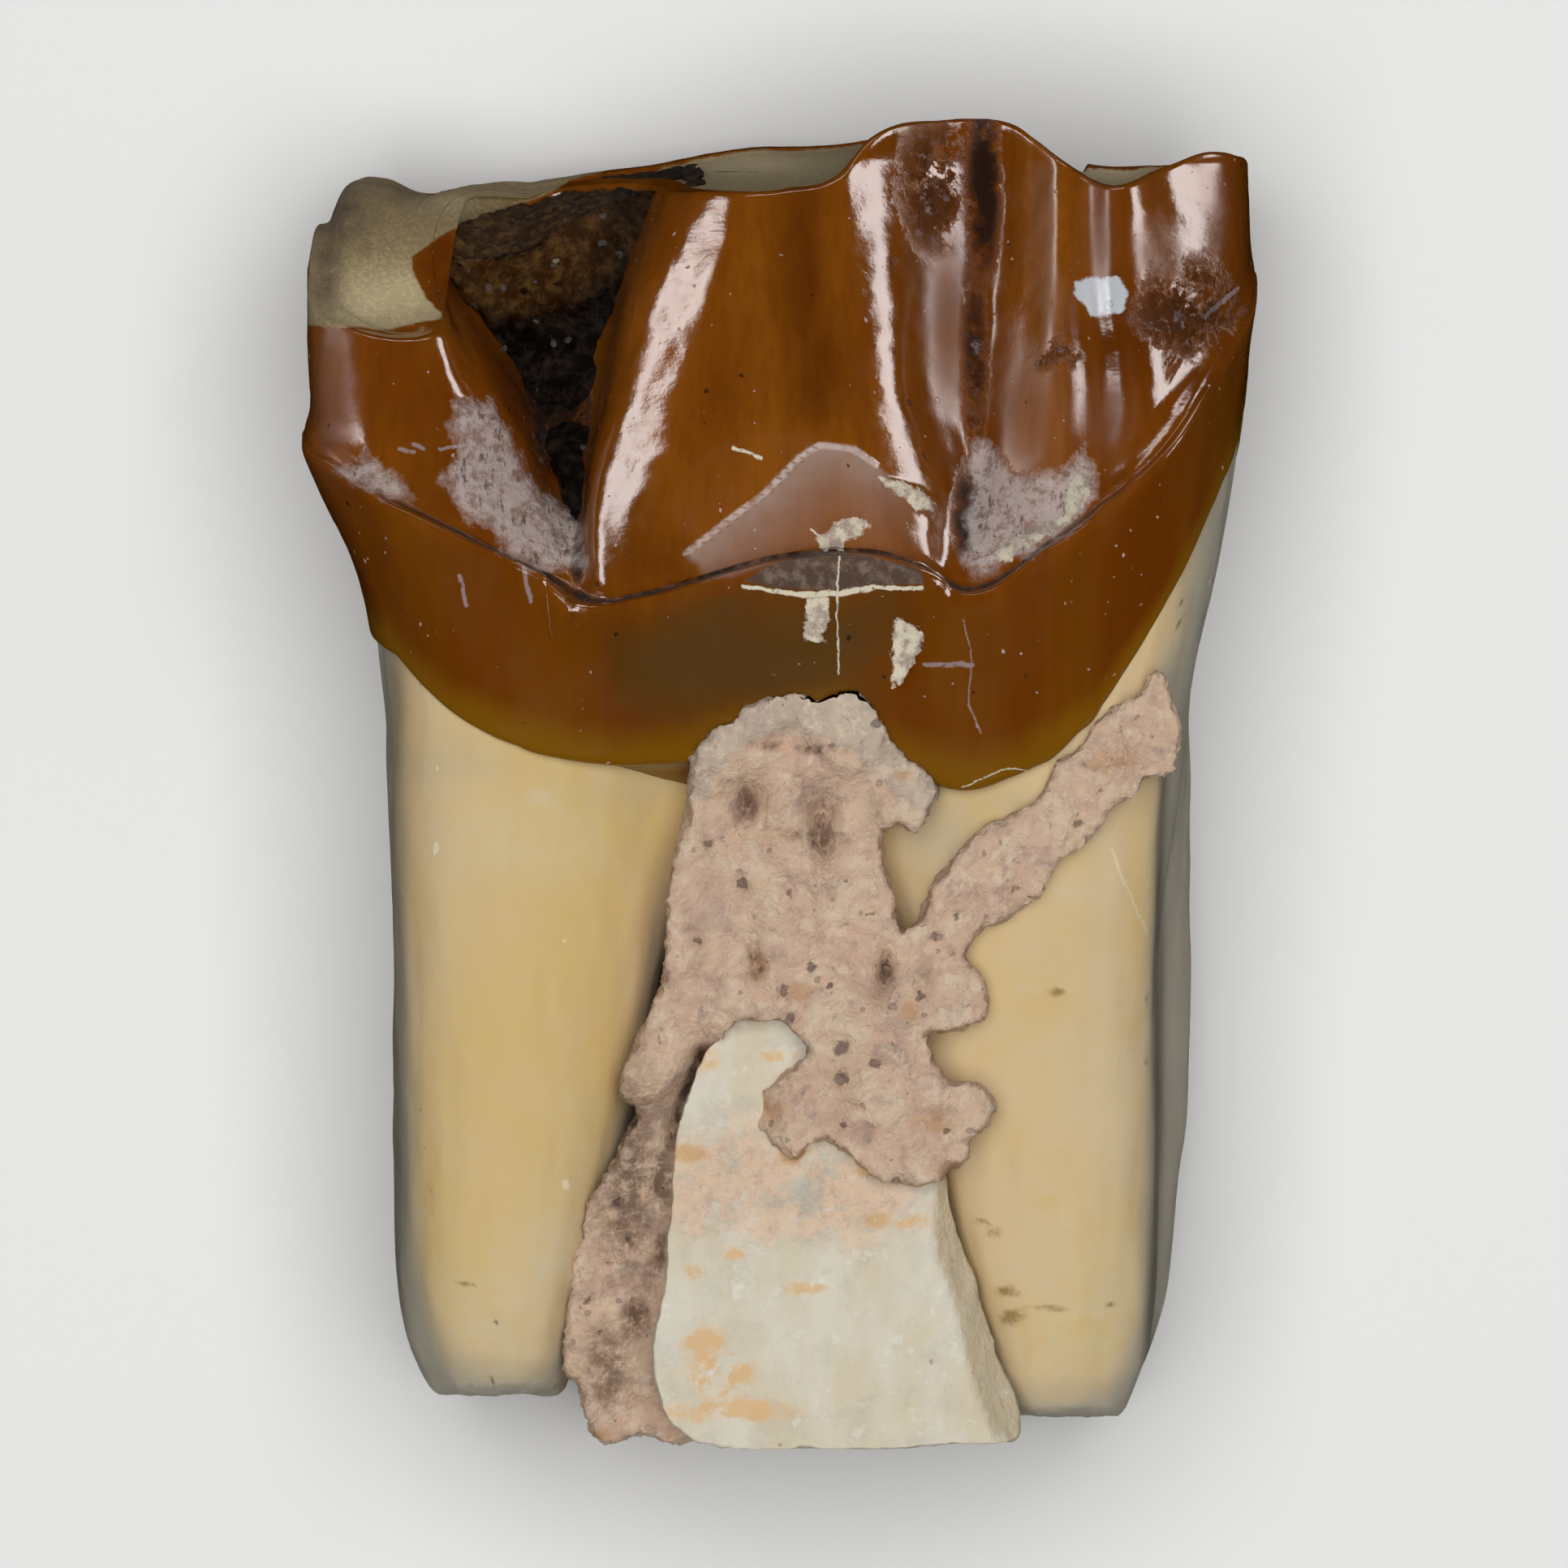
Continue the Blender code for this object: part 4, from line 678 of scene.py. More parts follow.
class Shading:
    """Adds nodes to one tree and links each to what it takes."""

    def __init__(self, tree):
        self.tree = tree

    def put(self, kind, sockets=None, **settings):
        """A new node with its settings made and its sockets fed."""
        made = self.tree.nodes.new(kind)
        for key, value in settings.items():
            setattr(made, key, value)
        for key, value in (sockets or {}).items():
            self.feed(made.inputs[key], value)
        return made

    def feed(self, socket, value):
        """Links a socket to another, or gives it a plain value."""
        if isinstance(value, bpy.types.NodeSocket):
            self.tree.links.new(value, socket)
        else:
            socket.default_value = value

    def math(self, operation, first, second=0.0, third=0.0, clamp=False):
        """A number worked out from others."""
        made = self.put("ShaderNodeMath", operation=operation, use_clamp=clamp)
        for socket, value in zip(made.inputs, (first, second, third)):
            self.feed(socket, value)
        return made.outputs[0]

    def between(self, value, low, high, start=0.0, end=1.0):
        """Goes smoothly from start to end while the value goes from low to high."""
        sockets = {"Value": value, "From Min": low, "From Max": high, "To Min": start, "To Max": end}
        return self.put("ShaderNodeMapRange", sockets, interpolation_type="SMOOTHSTEP").outputs["Result"]

    def blend(self, factor, first, second):
        """Mixes two colours."""
        made = self.put("ShaderNodeMix", data_type="RGBA")
        for socket, value in zip((made.inputs[0], made.inputs[6], made.inputs[7]), (factor, first, second)):
            self.feed(socket, value)
        return made.outputs[2]

    def blend_value(self, factor, first, second):
        """Mixes two numbers."""
        made = self.put("ShaderNodeMix", data_type="FLOAT")
        for socket, value in zip((made.inputs[0], made.inputs[2], made.inputs[3]), (factor, first, second)):
            self.feed(socket, value)
        return made.outputs[0]

    def times(self, first, second):
        """Two numbers multiplied."""
        return self.math("MULTIPLY", first, second)

    def plus(self, *parts):
        """The sum of some numbers."""
        return functools.reduce(lambda first, second: self.math("ADD", first, second), parts)

    def most(self, *masks):
        """The strongest of some masks at each place."""
        return functools.reduce(lambda first, second: self.math("MAXIMUM", first, second), masks)

    def over(self, colour, cover, mask, share):
        """A colour with a cover laid over it, by a share of a mask."""
        return self.blend(self.times(mask, share), colour, cover)

    def vector(self, operation, first, second):
        """What a vector operation gives: a vector, or a number for a product or a distance."""
        made = self.put("ShaderNodeVectorMath", operation=operation)
        self.feed(made.inputs[0], first)
        self.feed(made.inputs["Scale" if operation == "SCALE" else 1], second)
        return made.outputs["Value" if operation in ("DOT_PRODUCT", "DISTANCE") else 0]

    def measure(self, name):
        """A number that the piece's points carry."""
        return self.put("ShaderNodeAttribute", attribute_name=name).outputs["Fac"]

    def millimetres(self, stretch=(1, 1, 1)):
        """The place on the piece in millimetres, drawn out where the stretch is below 1."""
        place = self.put("ShaderNodeTexCoord").outputs["Object"]
        scale = tuple(1000 * s for s in stretch)
        return self.put("ShaderNodeMapping", {"Vector": place, "Scale": scale}).outputs["Vector"]

    def noise(self, place, scale, detail=3.0, roughness=0.55, distortion=0.0):
        """Even noise, about 0 to 1."""
        sockets = {"Vector": place, "Scale": scale, "Detail": detail, "Roughness": roughness}
        return self.put("ShaderNodeTexNoise", {**sockets, "Distortion": distortion}).outputs["Fac"]

    def cloud(self, place, kind, low, high, start=0.0, end=1.0):
        """Noise of a (scale, detail, roughness) that goes from start to end between low and high."""
        return self.between(self.noise(place, *kind), low, high, start, end)

    def group(self, name, *values):
        """Places a shared group and feeds its inputs in their order."""
        made = self.put("ShaderNodeGroup", node_tree=bpy.data.node_groups.get(name) or GROUPS[name]())
        for socket, value in zip(made.inputs, values):
            self.feed(socket, value)
        return made.outputs[0]

    def specks(self, place, scale, share, size, seed):
        """Specks in a share of the cells."""
        return self.group("Specks", place, scale, share, size, seed)

    def blotches(self, place, scale, middle, softness):
        """Patches where the noise is above its middle."""
        return self.group("Blotches", place, scale, middle, softness)

    def ragged(self, place, inside, scale, raggedness, softness=0.03):
        """An area with a ragged edge, from how far each place is inside it."""
        return self.group("Ragged area", place, inside, scale, raggedness, softness)


# What noise is on average, as a vector
NOISE_MIDDLE = (0.5, 0.5, 0.5)


def new_group(name, inputs, output):
    """A node group with named inputs and one named output."""
    tree = bpy.data.node_groups.new(name, "ShaderNodeTree")
    for label, kind, default in inputs:
        socket = tree.interface.new_socket(label, in_out="INPUT", socket_type=kind)
        socket.default_value = default
    tree.interface.new_socket(output, in_out="OUTPUT", socket_type="NodeSocketFloat")
    return tree, tree.nodes.new("NodeGroupInput").outputs, tree.nodes.new("NodeGroupOutput").inputs[0]


def speckle_group():
    """Small round specks of mixed size in some of the cells of a random pattern."""
    inputs = (
        ("Place", "NodeSocketVector", (0, 0, 0)), ("Scale", "NodeSocketFloat", 4.0),
        ("Share", "NodeSocketFloat", 0.2), ("Size", "NodeSocketFloat", 0.2), ("Seed", "NodeSocketFloat", 0.0),
    )
    tree, given, out = new_group("Specks", inputs, "Mask")
    s = Shading(tree)
    moved = s.vector("ADD", given["Place"], given["Seed"])
    ragged = s.put("ShaderNodeTexNoise", {"Vector": moved, "Scale": 3.0, "Detail": 3.0}).outputs["Color"]
    pushed = s.vector("SUBTRACT", ragged, NOISE_MIDDLE)
    pushed = s.vector("SCALE", pushed, 0.25)
    pushed = s.vector("ADD", pushed, moved)
    cells = s.put("ShaderNodeTexVoronoi", {"Vector": pushed, "Scale": given["Scale"]})
    chance = s.put("ShaderNodeSeparateColor", {"Color": cells.outputs["Color"]}).outputs[0]
    over = s.math("SUBTRACT", chance, s.math("SUBTRACT", 1.0, given["Share"]))
    reach = s.times(s.math("DIVIDE", over, given["Share"], clamp=True), given["Size"])
    near = s.math("SUBTRACT", reach, cells.outputs["Distance"])
    tree.links.new(s.between(near, 0.0, 0.04), out)
    return tree


def blotch_group():
    """Soft patches with ragged edges."""
    inputs = (
        ("Place", "NodeSocketVector", (0, 0, 0)), ("Scale", "NodeSocketFloat", 1.0),
        ("Middle", "NodeSocketFloat", 0.5), ("Softness", "NodeSocketFloat", 0.12),
    )
    tree, given, out = new_group("Blotches", inputs, "Mask")
    s = Shading(tree)
    cloud = s.noise(given["Place"], given["Scale"], 5.0, 0.6, 0.3)
    low = s.math("SUBTRACT", given["Middle"], given["Softness"])
    high = s.plus(given["Middle"], given["Softness"])
    tree.links.new(s.between(cloud, low, high), out)
    return tree


def ragged_group():
    """The inside of an area whose edge is broken up by grain."""
    inputs = (
        ("Place", "NodeSocketVector", (0, 0, 0)), ("Inside", "NodeSocketFloat", 0.0),
        ("Scale", "NodeSocketFloat", 3.0), ("Raggedness", "NodeSocketFloat", 0.4),
        ("Softness", "NodeSocketFloat", 0.03),
    )
    tree, given, out = new_group("Ragged area", inputs, "Mask")
    s = Shading(tree)
    grain = s.math("SUBTRACT", s.noise(given["Place"], given["Scale"], 6.0, 0.65), 0.5)
    pushed = s.math("MULTIPLY_ADD", grain, given["Raggedness"], given["Inside"])
    low = s.times(given["Softness"], -1.0)
    tree.links.new(s.between(pushed, low, given["Softness"]), out)
    return tree


def line_group():
    """A thin line across the outer face between two points."""
    inputs = (
        ("Place", "NodeSocketVector", (0, 0, 0)), ("Start", "NodeSocketVector", (0, 0, 0)),
        ("End", "NodeSocketVector", (1, 0, 0)), ("Width", "NodeSocketFloat", 0.1),
    )
    tree, given, out = new_group("Thin line", inputs, "Mask")
    s = Shading(tree)
    flat = s.vector("MULTIPLY", given["Place"], (1, 1, 0))
    away = s.vector("SUBTRACT", flat, given["Start"])
    along = s.vector("SUBTRACT", given["End"], given["Start"])
    over = s.vector("DOT_PRODUCT", away, along)
    whole = s.vector("DOT_PRODUCT", along, along)
    share = s.math("DIVIDE", over, whole, clamp=True)
    foot = s.vector("SCALE", along, share)
    gap = s.vector("DISTANCE", away, foot)
    half = s.times(given["Width"], 0.5)
    tree.links.new(s.between(s.math("SUBTRACT", half, gap), -0.015, 0.015), out)
    return tree


GROUPS = {
    "Specks": speckle_group, "Blotches": blotch_group, "Ragged area": ragged_group, "Thin line": line_group,
}


def new_material(name):
    """A material with only a shader, what adds nodes to it, and the shader."""
    material = bpy.data.materials.new(name)
    material.use_nodes = True
    material.node_tree.nodes.clear()
    s = Shading(material.node_tree)
    shader = s.put("ShaderNodeBsdfPrincipled")
    s.put("ShaderNodeOutputMaterial", {"Surface": shader.outputs[0]})
    return material, s, shader


def finish_shader(s, shader, colour, roughness, height, depth=1.0):
    """Feeds colour, roughness and relief, where the relief's height times its depth is millimetres."""
    s.feed(shader.inputs["Base Color"], colour)
    s.feed(shader.inputs["Roughness"], roughness)
    bump = s.put("ShaderNodeBump", {"Height": height, "Distance": depth * MM, "Strength": 1.0})
    s.tree.links.new(bump.outputs["Normal"], shader.inputs["Normal"])


def lines_mask(s, place, lines):
    """All the given thin lines of (start, end, width) as one wavy and broken mask."""
    sockets = {"Vector": place, "Scale": 2.0, "Detail": 4.0, "Roughness": 0.7}
    sway = s.put("ShaderNodeTexNoise", sockets).outputs["Color"]
    sway = s.vector("SCALE", s.vector("SUBTRACT", sway, NOISE_MIDDLE), 0.22)
    wavy = s.vector("ADD", place, sway)
    masks = []
    for *ends, width in lines:
        ends = [tuple(np.array((*on_face(*p), 0.0)) + SHIFT * (1, 1, 0)) for p in ends]
        masks.append(s.group("Thin line", wavy, *ends, width))
    gaps = s.cloud(place, (4.0, 4.0, 0.7), 0.3, 0.45)
    return s.times(s.most(*masks), gaps)


# Fixed colours of small marks, the crevice's and the crease's being painted shade, of the floor's clouds and
# of the room
ENAMEL_DIRT_AND_SHADE = (0.012, 0.004, 0.002, 1)
MOTTLE_SHADE = (0.05, 0.02, 0.01, 1)
RECESS_SPOT = (0.16, 0.12, 0.09, 1)
SCRATCH = (0.06, 0.03, 0.02, 1)
DARK_SPECK = (0.02, 0.008, 0.003, 1)
CREVICE_SHADE = (0.012, 0.005, 0.003, 1)
PALE_LINE = (0.42, 0.38, 0.42, 1)
CHALK = (0.8, 0.72, 0.6, 1)
ROOT_CRACK = (0.74, 0.66, 0.5, 1)
CREASE_SHADE = (0.13, 0.11, 0.08, 1)
ROCK_PORE = (0.17, 0.12, 0.12, 1)
BONE_VEIN = (0.3, 0.25, 0.19, 1)
BONE_WHITE = (0.76, 0.73, 0.66, 1)
BONE_PORE = (0.3, 0.17, 0.13, 1)
SEDIMENT_BLACK = (0.004, 0.002, 0.001, 1)
SEDIMENT_DARK = (0.04, 0.026, 0.018, 1)
BLUE_GRAIN = (0.16, 0.17, 0.18, 1)
PALE_GRAIN = (0.42, 0.38, 0.3, 1)
FLOOR_SHADE = (0.7, 0.7, 0.7, 1)
ROOM = (0.12, 0.12, 0.12, 1)

# Cream cracks and dashes on the enamel, then paler ones: start, end and width
CALCITE_LINES = (
    ((915, 725), (955, 731), 0.09), ((955, 731), (986, 735), 0.13), ((986, 735), (1031, 733), 0.15),
    ((1031, 733), (1076, 726), 0.14), ((1076, 726), (1134, 727), 0.1), ((1033, 688), (1031, 762), 0.05),
    ((1031, 762), (1033, 832), 0.04), ((905, 556), (938, 566), 0.08), ((1000, 655), (1016, 668), 0.05),
    ((1184, 971), (1240, 946), 0.03), ((1240, 946), (1275, 950), 0.03),
)
PALE_LINES = (
    ((1138, 820), (1196, 821), 0.1), ((1262, 690), (1330, 650), 0.04), ((940, 612), (970, 590), 0.04),
    ((568, 712), (578, 748), 0.1), ((494, 556), (512, 560), 0.08), ((511, 550), (524, 556), 0.1),
    ((545, 556), (572, 552), 0.08), ((1484, 394), (1524, 356), 0.09), ((646, 700), (655, 744), 0.1),
    ((1186, 765), (1195, 812), 0.03), ((1195, 812), (1192, 868), 0.03), ((1192, 868), (1208, 905), 0.04),
)
ROOT_LINES = (((1368, 1048), (1384, 1090), 0.08), ((1384, 1090), (1412, 1150), 0.05))
# The painted highlight along the upper rim of the middle lobe's chip
FACET_HIGHLIGHT_RIM = ((846, 684), (895, 645), (940, 612), (985, 566), (1010, 551), (1052, 556), (1080, 576))
# Areas of the outer face by what covers them: pinkish crust, partly painted highlight, and cream mineral
CRUST_AND_HIGHLIGHT_AREAS = (
    ((562, 500), (608, 500), (627, 541), (643, 580), (660, 603), (692, 623), (712, 652), (719, 700),
     (650, 698), (608, 655), (575, 626), (549, 590), (575, 564), (566, 535)),
    ((1205, 540), (1240, 590), (1300, 590), (1335, 560), (1345, 600), (1330, 640), (1280, 672), (1240, 695),
     (1195, 710), (1190, 640)),
    ((412, 572), (430, 584), (455, 560), (470, 575), (500, 600), (502, 620), (470, 612), (440, 600)),
)
CREAM_AREAS = (
    ((994, 738), (1020, 736), (1022, 762), (1010, 792), (990, 790)),
    ((1102, 762), (1118, 768), (1136, 786), (1130, 806), (1112, 846), (1096, 848), (1098, 810)),
    ((1002, 664), (1020, 658), (1028, 644), (1050, 640), (1070, 646), (1064, 660), (1040, 670),
     (1034, 684), (1014, 680)),
    ((1082, 592), (1106, 594), (1132, 606), (1150, 624), (1142, 634), (1116, 620), (1090, 604)),
    ((1318, 590), (1340, 586), (1342, 610), (1322, 632), (1308, 620)),
    ((1250, 664), (1300, 640), (1320, 630), (1322, 640), (1280, 668), (1240, 692), (1216, 690)),
)
# The dentine of the hind lobe, round the head of the fold and along the top
HIND_DENTINE = (
    (380, 403), (420, 406), (480, 409), (548, 394), (526, 366), (510, 340), (509, 318), (530, 299),
    (576, 277), (618, 260), (664, 241), (702, 220), (760, 205), (820, 190), (820, 120), (380, 120),
)
# Round areas of the enamel in the view: place, half width, half height and any strength
MOTTLED = (
    (1465, 385, 62, 52, 1.0), (1150, 230, 38, 70, 0.9), (1200, 470, 14, 80, 0.9), (1300, 440, 30, 24, 0.7),
    (1205, 640, 20, 60, 0.8), (680, 560, 26, 70, 0.6),
)
# Dirt in the groove, and painted shade in the deep fold
DIRT_AND_SHADE = (
    (1212, 230, 20, 110, 0.9), (1200, 430, 20, 130, 0.5), (1192, 640, 20, 60, 0.75), (676, 520, 24, 60, 0.9),
    (706, 506, 24, 56, 1.0), (704, 610, 16, 70, 0.9), (655, 480, 16, 40, 0.7), (712, 690, 10, 30, 0.9),
)
MURKY = ((400, 340, 22, 60, 0.9), (415, 262, 50, 46, 1.0), (480, 235, 60, 26, 0.6), (450, 305, 14, 16, 0.6))
DULL = (
    (412, 480, 26, 110, 1.0), (1270, 510, 44, 90, 1.0), (1165, 400, 24, 110, 0.9), (1360, 520, 30, 50, 0.8),
    (1300, 380, 20, 50, 0.7), (1500, 260, 20, 60, 0.4), (1420, 320, 30, 40, 0.5), (1352, 290, 24, 90, 0.6),
    (1285, 300, 14, 130, 0.8),
)
PITTED = (
    (1090, 400, 22, 120), (1110, 520, 34, 60), (1140, 590, 40, 40), (1420, 380, 60, 60),
    (1300, 430, 60, 40),
)
# Darker zones of the enamel, partly painted shade along the groove and the fold
DARK_BANDS_AND_SHADE = (
    (985, 330, 30, 160, 0.9), (1010, 470, 46, 80, 0.8), (700, 560, 46, 120, 0.8), (900, 480, 50, 120, 0.35),
    (1150, 300, 44, 200, 0.8), (1195, 420, 46, 300, 0.9), (1240, 260, 20, 150, 0.5),
    (1400, 420, 120, 60, 0.6), (820, 690, 60, 30, 0.4), (640, 470, 40, 80, 0.6), (760, 600, 30, 90, 0.4),
    (470, 620, 90, 30, 0.5), (1480, 420, 60, 120, 0.7), (540, 700, 120, 24, 0.4), (548, 345, 34, 60, 0.9),
)
PALE_DENTINE = (
    (480, 368, 80, 48, 1.0), (560, 250, 40, 14, 0.3), (930, 200, 80, 16, 0.6), (1370, 205, 60, 20, 0.8),
)
# The chip high on the fore lobe, the chip on the middle lobe, whose face carries a painted sheen, and
# the hollow below it, and the olive part below the ledge
CHIP_AREA = (
    (1322, 350), (1340, 344), (1378, 345), (1387, 366), (1380, 390), (1345, 394), (1334, 378), (1326, 376),
)
FACET_AREA = (
    (846, 684), (940, 612), (1000, 551), (1055, 556), (1100, 591), (1150, 616), (1175, 645), (1160, 712),
    (1090, 690), (1031, 680), (1000, 676), (940, 702), (900, 716), (870, 714),
)
RECESS_AREA = (
    (915, 718), (942, 700), (1000, 678), (1040, 682), (1090, 690), (1134, 704), (1140, 722), (1076, 724),
    (1031, 730), (960, 728),
)
OLIVE_AREA = ((760, 770), (860, 745), (1090, 740), (1062, 850), (1040, 880), (860, 900), (780, 860))


def enamel_colour(s, place, colours):
    """Brown of the enamel, with its streaks and zones, and painted shade along the groove and the fold."""
    upright = s.millimetres((1.0, 0.12, 1.0))
    above_margin, above_ledge = s.measure("above_margin"), s.measure("above_ledge")
    streaks = s.cloud(upright, (0.45, 4.0, 0.55), 0.35, 0.68)
    colour = s.blend(s.times(streaks, 0.75), colours.enamel, colours.enamel_warm)
    # Dark bands: darker enamel, and painted shade along the groove and the fold
    band = s.times(s.measure("dark_band_and_shade"), s.cloud(upright, (0.8, 4.0, 0.6), 0.2, 0.7, 0.4, 1.0))
    colour = s.blend(band, colour, colours.enamel_dark)
    fine = s.cloud(upright, (4.0, 5.0, 0.6), 0.4, 0.7)
    colour = s.over(colour, colours.enamel_dark, fine, 0.25)
    clouds = s.blotches(upright, 0.35, 0.52, 0.14)
    colour = s.over(colour, colours.enamel_dark, clouds, 0.4)
    low = s.between(above_ledge, 0.2, -0.8)
    under = s.blotches(upright, 0.5, 0.48, 0.16)
    under = s.blend(under, colours.enamel_low, colours.enamel_red)
    colour = s.over(colour, under, low, 0.85)
    wander = s.math("MULTIPLY_ADD", s.noise(place, 0.5, 4.0, 0.6), 2.4, -1.2)
    olive = s.times(s.between(s.plus(s.measure("olive"), wander), -1.1, 1.0), low)
    colour = s.over(colour, colours.enamel_olive, olive, 0.8)
    edge = s.between(s.plus(above_margin, s.noise(place, 0.5, 2.0, 0.5)), 1.7, 0.6)
    return s.over(colour, colours.margin, edge, 0.8)


def dentine_shade(s, place, colours):
    """Worn dentine, palest on the hind lobe, and the mask of its brown grains."""
    grey = s.blotches(place, 0.7, 0.5, 0.2)
    pale = s.times(s.measure("pale"), s.between(grey, 0.0, 1.0, 1.0, 0.75))
    colour = s.blend(pale, colours.dentine_dark, colours.dentine)
    grains = s.cloud(place, (9.0, 6.0, 0.8), 0.4, 0.7)
    shade = s.times(grains, s.between(pale, 0.0, 1.0, 0.35, 0.06))
    colour = s.blend(shade, colour, colours.dentine_brown)
    murk = s.cloud(place, (1.2, 7.0, 0.75), 0.3, 0.65, 0.4, 1.0)
    return s.blend(s.times(s.measure("murky"), murk), colour, colours.dentine_brown), grains


def enamel_material(colours):
    """Glossy brown enamel with worn dentine, crusts, cracks, specks and painted shade, sheen and highlights.
    """
    material, s, shader = new_material("enamel")
    place = s.millimetres()
    above_ledge = s.measure("above_ledge")
    colour = enamel_colour(s, place, colours)
    height = s.put("ShaderNodeSeparateXYZ", {0: place}).outputs[2]
    outer_face = s.between(height, 7.0, 7.6)

    # Dark dirt in the groove, and painted shade in the deep fold
    broken_up = s.cloud(place, (1.6, 6.0, 0.7), 0.3, 0.6, 0.35, 1.3)
    dirt = s.between(s.times(s.measure("dirt"), broken_up), 0.15, 0.8)
    colour = s.over(colour, ENAMEL_DIRT_AND_SHADE, dirt, 0.9)
    drifts = s.cloud(place, (0.8, 7.0, 0.75), 0.35, 0.65, 0.0, 1.5)
    mottle = s.between(s.times(s.measure("mottle"), drifts), 0.1, 0.9)
    colour = s.over(colour, MOTTLE_SHADE, mottle, 0.35)
    grit = s.cloud(place, (3.4, 7.0, 0.75), 0.54, 0.6)
    colour = s.blend(s.times(mottle, s.times(grit, 0.65)), colour, colours.mottle)

    # Painted sheen on the chip's flat face, brightest near its upper rim
    haze = s.cloud(place, (1.6, 5.0, 0.6), 0.25, 0.7, 0.75, 1.0)
    facet_sheen = s.times(s.measure("facet_sheen"), haze)
    colour = s.over(colour, colours.facet_sheen, facet_sheen, 0.8)
    recess = s.between(s.measure("recess"), -0.03, 0.08)
    spotted = s.blend(s.cloud(place, (3.0, 6.0, 0.7), 0.45, 0.65), colours.recess, RECESS_SPOT)
    colour = s.over(colour, spotted, recess, 0.85)

    # Crust, partly a painted highlight on the hind lobe's band and on the ledge's lip
    crust = s.ragged(place, s.measure("crust"), 1.4, 1.2, 0.2)
    film = s.cloud(place, (2.6, 8.0, 0.78), 0.4, 0.54, 0.4, 1.0)
    colour = s.blend(s.times(crust, s.times(film, 0.85)), colour, colours.crust)
    scratches = s.cloud(s.millimetres((2.5, 0.8, 1)), (2.6, 7.0, 0.75), 0.55, 0.62)
    pores = s.specks(place, 3.0, 0.35, 0.3, 7.0)
    scored = s.times(crust, s.most(scratches, pores))
    colour = s.over(colour, SCRATCH, scored, 0.75)

    bright = s.specks(place, 1.8, 0.16, 0.14, 3.0)
    fine = s.specks(place, 5.0, 0.2, 0.25, 11.0)
    some = s.blotches(place, 0.5, 0.53, 0.05)
    flecks = s.most(bright, s.times(fine, some))
    colour = s.over(colour, colours.crust, flecks, 0.6)
    dark = s.specks(place, 2.4, 0.16, 0.16, 23.0)
    dark = s.most(dark, s.times(s.measure("pitted"), pores))
    colour = s.over(colour, DARK_SPECK, dark, 0.75)

    calcite = s.times(lines_mask(s, place, CALCITE_LINES), outer_face)
    pale = s.times(lines_mask(s, place, PALE_LINES), outer_face)
    broken = s.cloud(place, (2.5, 5.0, 0.7), 0.3, 0.6, 0.25, 1.0)
    # Painted highlight along the chip's upper rim
    rim = s.times(s.between(s.measure("facet_highlight_rim"), 0.11, 0.04), broken)
    cream = s.ragged(place, s.measure("cream"), 4.0, 0.5)
    # Painted shade along the crevice above the ledge
    crevice = s.between(s.math("ABSOLUTE", s.math("SUBTRACT", above_ledge, 0.06)), 0.08, 0.03)
    crevice = s.times(crevice, s.times(s.measure("crevice"), broken))
    colour = s.over(colour, CREVICE_SHADE, crevice, 0.95)
    colour = s.over(colour, colours.crust, rim, 0.75)
    colour = s.over(colour, PALE_LINE, pale, 0.4)
    colour = s.over(colour, colours.calcite, calcite, 0.9)
    stained = s.blend(s.cloud(place, (3.0, 5.0, 0.7), 0.42, 0.62), colours.calcite, colours.facet_sheen)
    colour = s.over(colour, stained, cream, 0.92)

    chip = s.ragged(place, s.measure("chip"), 3.0, 0.35, 0.04)
    colour = s.over(colour, colours.chip, chip, 0.9)

    dentine_colour, grains = dentine_shade(s, place, colours)
    wobble = s.times(s.math("SUBTRACT", s.noise(place, 1.2, 4.0, 0.6), 0.5), 0.25)
    dentine = s.between(s.plus(s.measure("dentine"), wobble), -0.03, 0.05)
    colour = s.blend(dentine, colour, dentine_colour)

    rough = s.cloud(place, (1.4, 6.0, 0.65), 0.35, 0.75, 0.07, 0.16)
    gritty = s.most(s.times(crust, 0.6), s.times(mottle, s.most(grit, 0.3)))
    rough = s.blend_value(gritty, rough, 0.34)
    rough = s.blend_value(s.measure("dull"), rough, 0.65)
    partly = s.most(s.times(recess, 0.6), s.times(dentine, 0.8))
    matt = s.most(cream, calcite, flecks, scored, dirt, crevice, partly)
    rough = s.blend_value(matt, rough, 0.8)

    fine = s.times(s.noise(place, 6.0, 5.0, 0.6), 0.004)
    bands = s.times(s.noise(s.millimetres((0.15, 1.0, 0.4)), 6.0, 3.0, 0.6), 0.004)
    coarse = s.times(s.noise(place, 3.5, 7.0, 0.75), 0.16)
    coarse = s.times(s.most(s.times(crust, 0.7), mottle, dirt), coarse)
    grainy = s.times(dentine, s.times(grains, 0.012))
    raised = s.times(s.most(calcite, flecks, s.times(rim, 0.5)), 0.02)
    sunk = s.times(s.most(crevice, dark, s.times(recess, 0.5)), 0.04)
    relief = s.math("SUBTRACT", s.plus(fine, bands, coarse, grainy, raised), sunk)
    finish_shader(s, shader, colour, rough, relief)
    shader.inputs["IOR"].default_value = 1.6
    return material


